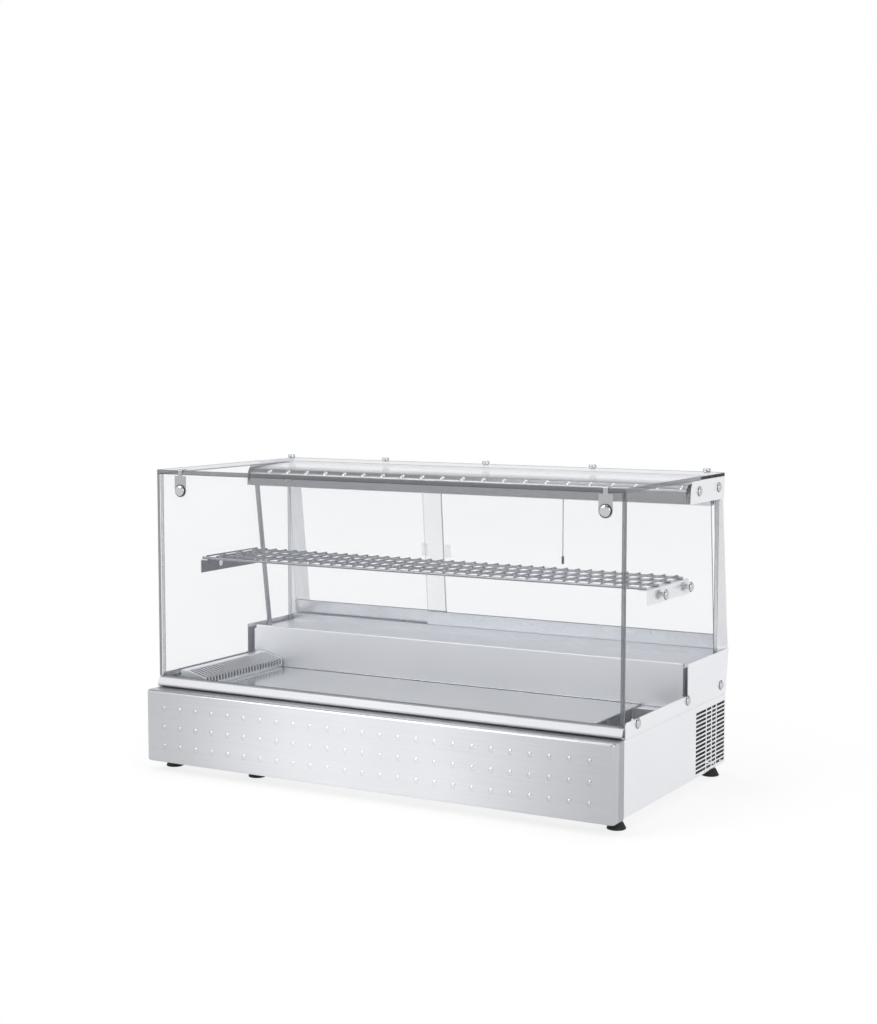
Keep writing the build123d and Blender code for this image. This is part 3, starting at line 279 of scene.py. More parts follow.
def rolled_header(name, front, top):
    """Header stainless with painted shade: grey on the rolled front, and lighter towards its flat
    back.
    """
    material, tree, place = start_material(name)
    depth = put(tree, "ShaderNodeSeparateXYZ", {"Vector": place}).outputs["Y"]
    # painted shade: the roll stays grey for 12 mm, and the sheet is light from 75 mm behind its front
    front_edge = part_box("header_channel")[0].y
    light = put(
        tree,
        "ShaderNodeMapRange",
        {"Value": depth, "From Min": front_edge + 12 * MM, "From Max": front_edge + 75 * MM},
        interpolation_type="SMOOTHSTEP",
    )
    tone = put(
        tree,
        "ShaderNodeMix",
        {"Factor": light.outputs["Result"], "A": front, "B": top},
        data_type="RGBA",
    )
    # 7 clouds to the metre, each some 140 mm wide, change the gloss of the rolled sheet
    clouds = put(tree, "ShaderNodeTexNoise", {"Vector": place, "Scale": 7.0, "Detail": 1.0})
    rough = put(
        tree,
        "ShaderNodeMapRange",
        {"Value": clouds.outputs["Fac"], "To Min": 0.2, "To Max": 0.3},
    )
    close_material(
        tree,
        {"Base Color": tone.outputs[2], "Metallic": 0.85, "Roughness": rough.outputs["Result"]},
    )
    return material


def bare_metal(name, tint, roughness):
    """Plated, drawn or anodised metal with faint handling marks in its gloss."""
    material, tree, place = start_material(name)
    # 300 marks to the metre, each some 3 mm wide, as fingers and tools leave
    marks = put(tree, "ShaderNodeTexNoise", {"Vector": place, "Scale": 300.0, "Detail": 2.0})
    rough = put(
        tree,
        "ShaderNodeMapRange",
        {"Value": marks.outputs["Fac"], "To Min": roughness * 0.7, "To Max": roughness * 1.3},
    )
    close_material(
        tree, {"Base Color": tint, "Metallic": 1.0, "Roughness": rough.outputs["Result"]}
    )
    return material


def moulded(name, tint, roughness, grain_mm=0.6, depth=0.15):
    """Moulded plastic, rubber, foam or enamel with the fine texture of its skin."""
    material, tree, place = start_material(name)
    grain = put(
        tree, "ShaderNodeTexNoise", {"Vector": place, "Scale": 1 / (grain_mm * MM), "Detail": 2.0}
    ).outputs["Fac"]
    hollow_tint = [channel * 0.82 for channel in tint[:3]] + [1.0]
    tone = put(
        tree, "ShaderNodeMix", {"Factor": grain, "A": tint, "B": hollow_tint}, data_type="RGBA"
    )
    relief = put(tree, "ShaderNodeBump", {"Height": grain, "Strength": depth, "Distance": 0.2 * MM})
    close_material(
        tree,
        {"Base Color": tone.outputs[2], "Roughness": roughness, "Normal": relief.outputs["Normal"]},
    )
    return material


def clear_sheet(name, tint, alpha, roughness):
    """Glass or acrylic: little but a faint tint and its gloss, and more body with more alpha."""
    material, tree, place = start_material(name)
    # 6 hazes to the metre, each some 170 mm wide, as a wiped pane has
    haze = put(tree, "ShaderNodeTexNoise", {"Vector": place, "Scale": 6.0, "Detail": 2.0})
    rough = put(
        tree,
        "ShaderNodeMapRange",
        {"Value": haze.outputs["Fac"], "To Min": roughness * 0.5, "To Max": roughness * 1.5},
    )
    close_material(
        tree,
        {"Base Color": tint, "Roughness": rough.outputs["Result"], "IOR": 1.52, "Alpha": alpha},
    )
    return material


def steel_materials(look):
    return {
        # light and streaked along the case, with painted shade towards the panel's ends
        "panel": brushed_stainless(
            "brushed_stainless_panel", "X", look.steel, look.panel_dark, 0.3, 0.8
        ),
        # light sheet with a soft sheen, brushed along the case or front to back
        "steel_x": brushed_stainless(
            "brushed_stainless_along_x", "X", look.steel, look.steel_dark
        ),
        "steel_y": brushed_stainless(
            "brushed_stainless_along_y", "Y", look.steel, look.steel_dark
        ),
        # duller, so the deck shows in it only as a soft light
        "riser": brushed_stainless(
            "brushed_stainless_riser", "X", look.steel, look.steel_dark, 0.45
        ),
        # painted shade: a darker copy of the stainless, grey and even, with no clear reflection
        "rail": brushed_stainless("brushed_stainless_rail", "X", look.rail, look.rail_dark, 0.5),
        # nearly a mirror, so the shelf and the riser show in it; painted shade darkens it and its
        # streaks
        "deck": brushed_stainless(
            "deck_stainless_painted_shade", "X", look.deck, look.header, 0.16
        ),
        # painted shade on the grey roll, which keeps a clear highlight, and a light flat top
        "header": rolled_header("header_stainless_painted_shade", look.header, look.steel),
    }


def metal_materials(look):
    return {
        # small bright turned pieces with sharp highlights
        "bright": bare_metal("polished_nickel", look.bright, 0.08),
        # dark line with a thin highlight along each wire
        "wire": bare_metal("chromed_shelf_wire", look.wire, 0.1),
        # mid grey with a wide highlight along the tube
        "tube": bare_metal("drawn_stainless_tube", linear("96989B"), 0.25),
        # light grey tab, softer than the screw on it
        "clip": bare_metal("pressed_nickel_tab", linear("B2B3B5"), 0.3),
        # painted shade: dark dull grey on the inner faces of the brackets
        "bracket_shade_paint": bare_metal("bracket_inner_face_painted_shade", linear("66686B"), 0.5),
        # pale satin metal
        "aluminium": bare_metal("anodised_aluminium", look.aluminium, 0.3),
        # pale and dull, because the thin fins scatter the light
        "fins": bare_metal("aluminium_fins", look.aluminium, 0.45),
        # warm red metal among the grey
        "copper": bare_metal("drawn_copper_tube", linear("C98A6A"), 0.3),
    }


def clear_materials(look):
    return {
        # hardly seen but for its gloss
        "glass": clear_sheet("float_glass", look.glass, 0.07, 0.02),
        # dark grey line that draws the outline of a pane
        "glass_edge": clear_sheet("polished_glass_edge", look.edge, 0.8, 0.15),
        # painted reflection: faint light line where an edge looks at the white backdrop
        "painted_pale_edge": clear_sheet("glass_edge_painted_pale", look.painted_pale_edge, 0.35, 0.15),
        # clear pull that shows a little more than the pane it is on
        "acrylic": clear_sheet("clear_acrylic", linear("DDE0E5"), 0.14, 0.05),
        # milky sheet that nearly vanishes against the backdrop
        "satin": clear_sheet("satin_acrylic_cheek", linear("F0F1F4"), 0.4, 0.3),
    }


def moulded_materials(look):
    return {
        # thin dull line that is dark grey behind the glass, and the painted shade in the gap behind
        # the deck
        "tape": moulded("black_glazing_tape_and_gap_shade", linear("4A4C4F"), 0.6),
        # pale grey bead with a soft gloss
        "gasket": moulded("clear_pvc_gasket", linear("B9BDC0"), 0.4),
        # deep black with a coarse dull skin
        "rubber": moulded("black_rubber", look.rubber, 0.65, 1.0, 0.3),
        # black with a fine satin texture
        "plastic": moulded("black_abs", look.plastic, 0.5),
        # glossy green that marks the switches
        "green": moulded("rocker_green_polycarbonate", linear("2E8F4A"), 0.25),
        # plain mid grey and warm white mouldings
        "grey": moulded("grey_abs", linear("8D9093"), 0.5),
        "white": moulded("white_abs", linear("EDEDEA"), 0.4),
        # yellowish and quite dull, with a pitted skin
        "foam": moulded("rigid_polyurethane_foam", linear("DCCB9A"), 0.9, 2.0, 0.5),
        # black gloss with the faint waves of dipped paint; on the condenser it is also painted shade
        # behind the vents
        "enamel": moulded("black_stove_enamel", linear("202124"), 0.35, 3.0, 0.3),
    }


materials = {}


def make_materials():
    look = finish()
    for group in (steel_materials, metal_materials, clear_materials, moulded_materials):
        materials.update(group(look))


def dress(looks):
    """Gives frame nodes their materials: looks lists the nodes under each material's key."""
    for look, nodes in looks.items():
        for node in nodes:
            slots = NODES[node].data.materials
            slots.clear()
            slots.append(materials[look])


# Mesh helpers


def finish_mesh(bm, name, body, looks, replaces=(), smooth=True):
    """Turns a bmesh into a piece that rides on a body, with its materials."""
    mesh = bpy.data.meshes.new(name)
    bm.to_mesh(mesh)
    bm.free()
    piece = bpy.data.objects.new(name, mesh)
    bpy.context.scene.collection.objects.link(piece)
    for look in looks:
        mesh.materials.append(materials[look])
    if smooth:
        mesh.polygons.foreach_set("use_smooth", [True] * len(mesh.polygons))
        mesh.set_sharp_from_angle(angle=CREASE)
    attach(piece, body)
    if replaces:
        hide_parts(*replaces)
    return piece


def add_box(bm, low, high):
    """A box between two corners."""
    low, high = Vector(low), Vector(high)
    place = Matrix.Translation((low + high) / 2) @ Matrix.Diagonal((*(high - low), 1))
    bmesh.ops.create_cube(bm, size=1, matrix=place)


def edges_where(bm, test):
    """Edges whose two ends pass a test."""
    return [edge for edge in bm.edges if test(*(vert.co for vert in edge.verts))]


def round_edges(bm, edges, offset, segments):
    bmesh.ops.bevel(
        bm, geom=edges, offset=offset, segments=segments, profile=0.5, affect="EDGES", material=-1
    )


def facing(place, outward):
    """Matrix that turns Z to the outward direction and moves to a place."""
    turn = Vector(outward).to_track_quat("Z", "Y").to_matrix().to_4x4()
    return Matrix.Translation(place) @ turn


def profile_of(shape, radius, height):
    """Real size of an outline that is given as shares of its radius and height."""
    return [(radius * across, height * up) for across, up in shape]


def add_turned(bm, profile, place, sides):
    """Spins a profile of (radius, height) points about Z, puts it in place and gives its faces."""
    before = set(bm.verts)
    verts = [bm.verts.new((radius, 0, height)) for radius, height in profile]
    edges = [bm.edges.new(pair) for pair in zip(verts, verts[1:])]
    bmesh.ops.spin(
        bm,
        geom=verts + edges,
        cent=(0, 0, 0),
        axis=UP,
        angle=math.tau,
        steps=sides,
        use_merge=True,
    )
    # the points on the axis come out once for each side
    turned = [vert for vert in bm.verts if vert not in before]
    bmesh.ops.remove_doubles(bm, verts=turned, dist=SAME_POINT)
    turned = [vert for vert in bm.verts if vert not in before]
    bmesh.ops.transform(bm, matrix=place, verts=turned)
    faces = {face for vert in turned for face in vert.link_faces}
    bmesh.ops.recalc_face_normals(bm, faces=list(faces))
    return faces


def add_cylinder(bm, place, radius, height, sides):
    """Cylinder or prism with its middle at a place."""
    bmesh.ops.create_cone(
        bm,
        cap_ends=True,
        segments=sides,
        radius1=radius,
        radius2=radius,
        depth=height,
        matrix=place,
    )


def add_rod(bm, start, end, radius):
    """Round bar between two points."""
    start, end = Vector(start), Vector(end)
    along = end - start
    add_cylinder(bm, facing((start + end) / 2, along), radius, along.length, ROD_SIDES)


def add_stud(bm, place, outward):
    """Pressed stud on a sheet; gives its faces."""
    size = sizes()
    profile = profile_of(STUD_SHAPE, size.stud_diameter / 2, size.stud_rise)
    return add_turned(bm, profile, facing(place, outward), STUD_SIDES)


def add_strip(bm, points, x_low, x_high):
    """Sheet along an open profile of (y, z) points, closed at both ends."""
    verts = [bm.verts.new((x_low, y, z)) for y, z in points]
    edges = [bm.edges.new(pair) for pair in zip(verts, verts[1:])]
    grown = bmesh.ops.extrude_edge_only(bm, edges=edges)["geom"]
    moved = [item for item in grown if isinstance(item, bmesh.types.BMVert)]
    bmesh.ops.translate(bm, vec=(x_high - x_low, 0, 0), verts=moved)
    bm.faces.new(verts)
    bm.faces.new(moved)
    bmesh.ops.recalc_face_normals(bm, faces=bm.faces[:])


def add_wall(piece):
    """Gives an open skin the thickness of its sheet, inwards."""
    wall = piece.modifiers.new("wall", "SOLIDIFY")
    wall.thickness = sizes().sheet
    wall.offset = -1


def copy_of(node):
    """Merged copy of a frame node's mesh."""
    bm = bmesh.new()
    bm.from_mesh(NODES[node].data)
    bmesh.ops.remove_doubles(bm, verts=bm.verts[:], dist=SAME_POINT)
    for face in bm.faces:
        face.material_index = 0
        face.normal_update()
    return bm


def solids_of(node):
    """Lowest and highest corners of each separate solid of a frame node."""
    bm = copy_of(node)
    left = set(bm.verts)
    boxes = []
    while left:
        group = [left.pop()]
        for vert in group:
            near = {edge.other_vert(vert) for edge in vert.link_edges} & left
            left -= near
            group.extend(near)
        axes = list(zip(*(vert.co for vert in group)))
        boxes.append((Vector([min(axis) for axis in axes]), Vector([max(axis) for axis in axes])))
    bm.free()
    return sorted(boxes, key=lambda box: tuple(box[0]))


def turned_copies(node, shape, sides):
    """A turned shape of the same size in the place of each upright solid of a node."""
    bm = bmesh.new()
    for low, high in solids_of(node):
        size = high - low
        foot = ((low.x + high.x) / 2, (low.y + high.y) / 2, low.z)
        add_turned(bm, profile_of(shape, size.x / 2, size.z), facing(foot, UP), sides)
    return bm


# Operators


class StudioOperator(bpy.types.Operator):
    """White floor and backdrop, soft lamps and the camera at the photograph's viewing angle"""

    bl_idname = "display_case.studio"
    bl_label = "Studio"

    def execute(self, context):
        self.add_world(context)
        self.add_floor(context)
        self.add_lamps(context)
        self.add_camera(context)
        context.scene.view_settings.view_transform = "Standard"
        return {"FINISHED"}

    def add_world(self, context):
        """White walls all round, and a grey ceiling that only gloss shows."""
        world = bpy.data.worlds.new("studio_world")
        world.use_nodes = True
        tree = world.node_tree
        tree.nodes.clear()
        path = put(tree, "ShaderNodeLightPath").outputs
        way = put(tree, "ShaderNodeTexCoord").outputs["Generated"]
        up = put(tree, "ShaderNodeSeparateXYZ", {"Vector": way}).outputs["Z"]
        # the grey starts 17 degrees above the horizon and is full at 49 degrees
        ceiling = put(
            tree,
            "ShaderNodeMapRange",
            {"Value": up, "From Min": 0.3, "From Max": 0.75, "To Min": 1.0, "To Max": 0.3},
            interpolation_type="SMOOTHSTEP",
        )
        # full white to the eye, and a little over half of that as light on the case
        behind_glass = put(
            tree,
            "ShaderNodeMath",
            {0: path["Is Camera Ray"], 1: path["Is Transmission Ray"]},
            operation="MAXIMUM",
        )
        plain = put(
            tree,
            "ShaderNodeMapRange",
            {"Value": behind_glass.outputs[0], "To Min": 0.55, "To Max": 1.0},
        )
        strength = put(
            tree,
            "ShaderNodeMix",
            {
                "Factor": path["Is Glossy Ray"],
                "A": plain.outputs["Result"],
                "B": ceiling.outputs["Result"],
            },
        )
        light = put(
            tree,
            "ShaderNodeBackground",
            {"Color": (1, 1, 1, 1), "Strength": strength.outputs["Result"]},
        )
        put(tree, "ShaderNodeOutputWorld", {"Surface": light.outputs["Background"]})
        context.scene.world = world

    def add_floor(self, context):
        reach = 40  # metres, far past the camera's view
        bm = bmesh.new()
        bmesh.ops.create_grid(bm, x_segments=1, y_segments=1, size=reach)
        mesh = bpy.data.meshes.new("floor")
        bm.to_mesh(mesh)
        bm.free()
        floor = bpy.data.objects.new("floor", mesh)
        context.scene.collection.objects.link(floor)
        mesh.materials.append(self.floor_material())

    def floor_material(self):
        """White paint that keeps the shadow near the case and fades into the backdrop."""
        material, tree, place = start_material("white_floor")
        path = put(tree, "ShaderNodeLightPath").outputs
        # roller marks of 25 mm, hardly off white
        roller_mark = 25 * MM
        grain = put(tree, "ShaderNodeTexNoise", {"Vector": place, "Scale": 1 / roller_mark})
        tone = put(
            tree,
            "ShaderNodeMix",
            {"Factor": grain.outputs["Fac"], "A": linear("FFFFFF"), "B": linear("FDFDFD")},
            data_type="RGBA",
        )
        paint = put(tree, "ShaderNodeBsdfDiffuse", {"Color": tone.outputs[2]})
        glow = put(tree, "ShaderNodeEmission", {"Color": (1, 1, 1, 1), "Strength": 1.0})
        # the shadow lies within 600 mm of the middle, and is gone by 1100 mm
        away = put(tree, "ShaderNodeVectorMath", {0: place}, operation="LENGTH").outputs["Value"]
        fade = put(
            tree,
            "ShaderNodeMapRange",
            {
                "Value": away,
                "From Min": 600 * MM,
                "From Max": 1100 * MM,
                "To Min": 0.78,
                "To Max": 1.0,
            },
            interpolation_type="SMOOTHSTEP",
        )
        seen = put(
            tree,
            "ShaderNodeMath",
            {0: path["Is Camera Ray"], 1: path["Is Glossy Ray"]},
            operation="MAXIMUM",
        )
        glow_share = put(
            tree,
            "ShaderNodeMath",
            {0: seen.outputs[0], 1: fade.outputs["Result"]},
            operation="MULTIPLY",
        )
        mixed = put(
            tree,
            "ShaderNodeMixShader",
            {"Fac": glow_share.outputs[0], 1: paint.outputs["BSDF"], 2: glow.outputs["Emission"]},
        )
        put(tree, "ShaderNodeOutputMaterial", {"Surface": mixed.outputs["Shader"]})
        return material

    def add_lamps(self, context):
        """Square soft boxes that look at the middle of the case."""
        case_middle = Vector((0, 0, 0.3))
        # name, place and width in metres, power in watts
        lamps = [
            ("key_lamp", (-1.6, -2.2, 2.6), 1.8, 38),
            ("fill_lamp", (2.8, -1.2, 1.6), 1.6, 18),
            ("top_lamp", (0.0, 0.3, 2.8), 2.2, 30),
        ]
        for name, place, width, power in lamps:
            lamp = bpy.data.lights.new(name, "AREA")
            lamp.shape = "SQUARE"
            lamp.size = width
            lamp.energy = power
            holder = bpy.data.objects.new(name, lamp)
            holder.location = place
            aim = case_middle - Vector(place)
            holder.rotation_euler = aim.to_track_quat("-Z", "Y").to_euler()
            context.scene.collection.objects.link(holder)

    def add_camera(self, context):
        """Camera that was fitted to the glass box and the rows of studs in the photograph."""
        lens = bpy.data.cameras.new("camera")
        lens.sensor_width = 36
        lens.lens = 62.15
        looks_down = math.radians(5.09)
        stands_right = math.radians(29.62)
        camera = bpy.data.objects.new("camera", lens)
        camera.location = (1.696, -2.9776, 0.818)
        camera.rotation_euler = (math.pi / 2 - looks_down, 0, stands_right)
        context.scene.collection.objects.link(camera)
        context.scene.camera = camera


class SheetMetalOperator(bpy.types.Operator):
    """Finish of the folded stainless pieces that keep their construction shape"""

    bl_idname = "display_case.sheet_metal"
    bl_label = "Sheet metal"

    def execute(self, context):
        looks = {
            "steel_x": [
                "base_cabinet",
                "machine_cover",
                "partition",
                "well_liner",
                "service_panel",
                "drip_tray",
            ],
            "steel_y": [
                "side_plate_left",
                "side_plate_right",
                "header_end_plates",
                "fan_plates",
                "return_grille",
            ],
            "satin": ["cheek_left", "cheek_right"],
            "rail": ["deck_rail"],
            "clip": ["glass_clips"],
            "riser": ["rear_panel"],
            "deck": ["deck_plate"],
            "tube": ["conduit_tube"],
        }
        dress(looks)
        return {"FINISHED"}


class FrontPanelOperator(bpy.types.Operator):
    """Deep tray with rounded corners and three rows of pressed studs"""

    bl_idname = "display_case.front_panel"
    bl_label = "Front panel"

    columns = 25
    rows = 3
    rows_below_middle = 1 * MM

    def execute(self, context):
        size = sizes()
        low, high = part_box("front_panel")
        low.y += size.stud_rise
        bm = bmesh.new()
        add_box(bm, low, high)
        back = [face for face in bm.faces if face.normal.y > SQUARE_ON]
        bmesh.ops.delete(bm, geom=back, context="FACES_ONLY")
        corners = edges_where(bm, lambda a, b: self.is_front_corner(a, b, low, high))
        round_edges(bm, corners, size.corner_radius, segments=8)
        rim = edges_where(bm, lambda a, b: self.is_rim(a, b, low, high))
        round_edges(bm, rim, size.fold_radius, segments=3)
        bmesh.ops.recalc_face_normals(bm, faces=bm.faces[:])
        self.add_studs(bm, low, high)
        panel = finish_mesh(bm, "front_panel_skin", "case", ["panel"], ["front_panel"])
        add_wall(panel)
        return {"FINISHED"}

    def is_front_corner(self, a, b, low, high):
        """Whether an edge stands upright at the front of the tray."""
        half_height = (high.z - low.z) / 2
        half_depth = (high.y - low.y) / 2
        return abs(a.z - b.z) > half_height and max(a.y, b.y) < low.y + half_depth

    def is_rim(self, a, b, low, high):
        """Whether an edge goes round the tray's top or bottom, apart from its open back."""
        near = 0.01 * MM
        level = abs(a.z - b.z) < near
        at_end = min(abs(a.z - low.z), abs(a.z - high.z)) < near
        return level and at_end and min(a.y, b.y) < high.y - near

    def add_studs(self, bm, low, high):
        size = sizes()
        middle = (low.z + high.z) / 2 - self.rows_below_middle
        for column in range(self.columns):
            for row in range(self.rows):
                x = (column - (self.columns - 1) / 2) * size.stud_pitch
                z = middle + (row - (self.rows - 1) / 2) * size.stud_row_pitch
                add_stud(bm, (x, low.y, z), TO_FRONT)


class HeaderOperator(bpy.types.Operator):
    """Header of one sheet: a dished top, a rolled front edge with studs, and a lamp slot below"""

    bl_idname = "display_case.header"
    bl_label = "Header"

    studs = 21
    glass_gap = 0.5 * MM
    drop = 6 * MM
    front_bend = 2.5 * MM
    back_bend = 1 * MM
    stud_lean = math.radians(135)

    def execute(self, context):
        low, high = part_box("header_channel")
        radius = sizes().header_roll
        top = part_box("glass_top")[0].z - self.glass_gap
        roll = Vector((0, low.y + radius, top - self.drop - radius))
        bm = bmesh.new()
        add_strip(bm, self.outline(low, high, top, roll), low.x, high.x)
        self.add_studs(bm, roll)
        looks = ["header", "bright"]
        replaced = ["header_channel", "header_cover"]
        skin = finish_mesh(bm, "header_skin", "case", looks, replaced)
        add_wall(skin)
        return {"FINISHED"}

    def outline(self, low, high, top, roll):
        """Points (y, z) from the lamp slot round the front and the top, and back to the slot."""
        slot_low, slot_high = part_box("lamp_diffuser")
        # the middle of a quarter bend lies 0.3 of its radius in from both faces
        bend = self.front_bend
        bend_middle = bend * 0.3
        points = [
            (slot_low.y, low.z),
            (low.y + bend, low.z),
            (low.y + bend_middle, low.z + bend_middle),
            (low.y, low.z + bend),
        ]
        # the roll turns from the upright front to 10 degrees short of level
        radius = sizes().header_roll
        turns = 10
        for turn in range(turns + 1):
            angle = math.radians(180 - 80 * turn / turns)
            points.append((roll.y + radius * math.cos(angle), roll.z + radius * math.sin(angle)))
        # the top goes on to the back, steeply at first and then level
        front_y, front_z = points[-1]
        run = high.y - self.back_bend - front_y
        rise = top - front_z
        steepness = 2.5
        steps = 12
        for step in range(1, steps + 1):
            back = step / steps
            points.append((front_y + run * back, front_z + rise * (1 - (1 - back) ** steepness)))
        bend = self.back_bend
        points += [
            (high.y, top - bend),
            (high.y, low.z + bend),
            (high.y - bend, low.z),
            (slot_high.y, low.z),
        ]
        return points

    def add_studs(self, bm, roll):
        """Bright studs along the middle of the roll."""
        size = sizes()
        out = Vector((0, math.cos(self.stud_lean), math.sin(self.stud_lean)))
        foot = roll + out * size.header_roll
        for number in range(self.studs):
            x = (number - (self.studs - 1) / 2) * size.header_stud_pitch + size.header_stud_shift
            for face in add_stud(bm, (x, foot.y, foot.z), out):
                face.material_index = 1


class GlassOperator(bpy.types.Operator):
    """Panes of float glass with ground and polished edges, and the tape that beds them"""

    bl_idname = "display_case.glass"
    bl_label = "Glass"

    # the first look is for the broad faces, and the others are for dark edges and for pale edges with
    # a painted reflection of the backdrop
    looks = ["glass", "glass_edge", "painted_pale_edge"]
    tape_thickness = 0.4 * MM
    tape_edge = 0.12 * MM

    def execute(self, context):
        # each pane's thin axis, and the ways in which its edges look dark
        panes = {
            "glass_front": (1, [TO_RIGHT, TO_LEFT]),
            "glass_top": (2, [TO_FRONT, TO_RIGHT]),
            "glass_left": (0, [TO_FRONT]),
            "glass_right": (0, [TO_FRONT]),
        }
        for node, (thin, dark) in panes.items():
            self.add_pane(node, thin, dark)
        left_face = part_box("glass_left")[1].x
        right_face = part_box("glass_right")[0].x
        self.add_tape("glass_tape_left", left_face, left_face + self.tape_thickness)
        self.add_tape("glass_tape_right", right_face - self.tape_thickness, right_face)
        for node, body in (("door_left_glass", "left_door"), ("door_right_glass", "right_door")):
            self.add_door_pane(node, body)
        dress({"gasket": ["glass_gaskets"]})
        return {"FINISHED"}

    def add_pane(self, node, thin, dark):
        """Pane with its arris: slanted faces and the edges that look a dark way are dark, and the
        others take a painted reflection of the backdrop.
        """
        low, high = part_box(node)
        if node == "glass_top":
            # the real pane lies over the header, up to the back of its cover
            high.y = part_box("header_cover")[1].y
        bm = bmesh.new()
        add_box(bm, low, high)
        round_edges(bm, bm.edges[:], sizes().arris, segments=1)
        for face in bm.faces:
            normal = face.normal
            slanted = max(abs(part) for part in normal) < SQUARE_ON
            if abs(normal[thin]) > SQUARE_ON:
                face.material_index = 0
            elif slanted or any(normal.dot(way) > SQUARE_ON for way in dark):
                face.material_index = 1
            else:
                face.material_index = 2
        finish_mesh(bm, f"{node}_pane", "case", self.looks, [node], smooth=False)

    def add_door_pane(self, node, body):
        """Leaning pane of a sliding door: the end on the right is dark, and other edges pale with a
        painted reflection of the backdrop.
        """
        bm = copy_of(node)
        for face in bm.faces:
            if face.normal.x > SQUARE_ON:
                face.material_index = 1
            elif max(abs(face.normal.x), abs(face.normal.z)) > SQUARE_ON:
                face.material_index = 2
        finish_mesh(bm, f"{node}_pane", body, self.looks, [node], smooth=False)

    def add_tape(self, name, x_low, x_high):
        """Dark strip along the foot of a side glass, level with the deck rail."""
        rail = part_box("deck_rail")[1]
        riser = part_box("rear_panel")[0].y
        bm = bmesh.new()
        add_box(bm, (x_low, rail.y, rail.z - sizes().tape), (x_high, riser, rail.z))
        round_edges(bm, bm.edges[:], self.tape_edge, segments=1)
        finish_mesh(bm, name, "case", ["tape"])


class ShelfOperator(bpy.types.Operator):
    """Shelf of round wires: long ones along the case and cross ones welded on top"""

    bl_idname = "display_case.shelf"
    bl_label = "Wire shelf"

    long_wires = 4
    weld_depth = 0.4 * MM
    cross_wire_short_of_edge = 1 * MM

    def execute(self, context):
        size = sizes()
        low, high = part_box("wire_shelf")
        bm = bmesh.new()
        thick = size.long_wire / 2
        step = (high.y - low.y - 2 * thick) / (self.long_wires - 1)
        for number in range(self.long_wires):
            y = low.y + thick + number * step
            add_rod(bm, (low.x, y, low.z + thick), (high.x, y, low.z + thick), thick)
        thin = size.cross_wire / 2
        z = low.z + 2 * thick + thin - self.weld_depth
        front = low.y + self.cross_wire_short_of_edge
        back = high.y - self.cross_wire_short_of_edge
        count = int((high.x - low.x - 2 * thin) / size.cross_pitch) + 1
        for number in range(count):
            x = (number - (count - 1) / 2) * size.cross_pitch
            add_rod(bm, (x, front, z), (x, back, z), thin)
        finish_mesh(bm, "shelf_wires", "shelf", ["wire"], ["wire_shelf"])
        self.add_brackets()
        return {"FINISHED"}

    def add_brackets(self):
        """Angle brackets, brushed outside, with painted shade on their inner faces."""
        bm = copy_of("shelf_brackets")
        for face in bm.faces:
            # painted shade on the faces that look into the case
            inward = face.normal.x * face.calc_center_median().x < 0
            if inward and abs(face.normal.x) > SQUARE_ON:
                face.material_index = 1
        looks = ["steel_y", "bracket_shade_paint"]
        finish_mesh(bm, "bracket_angles", "case", looks, ["shelf_brackets"])


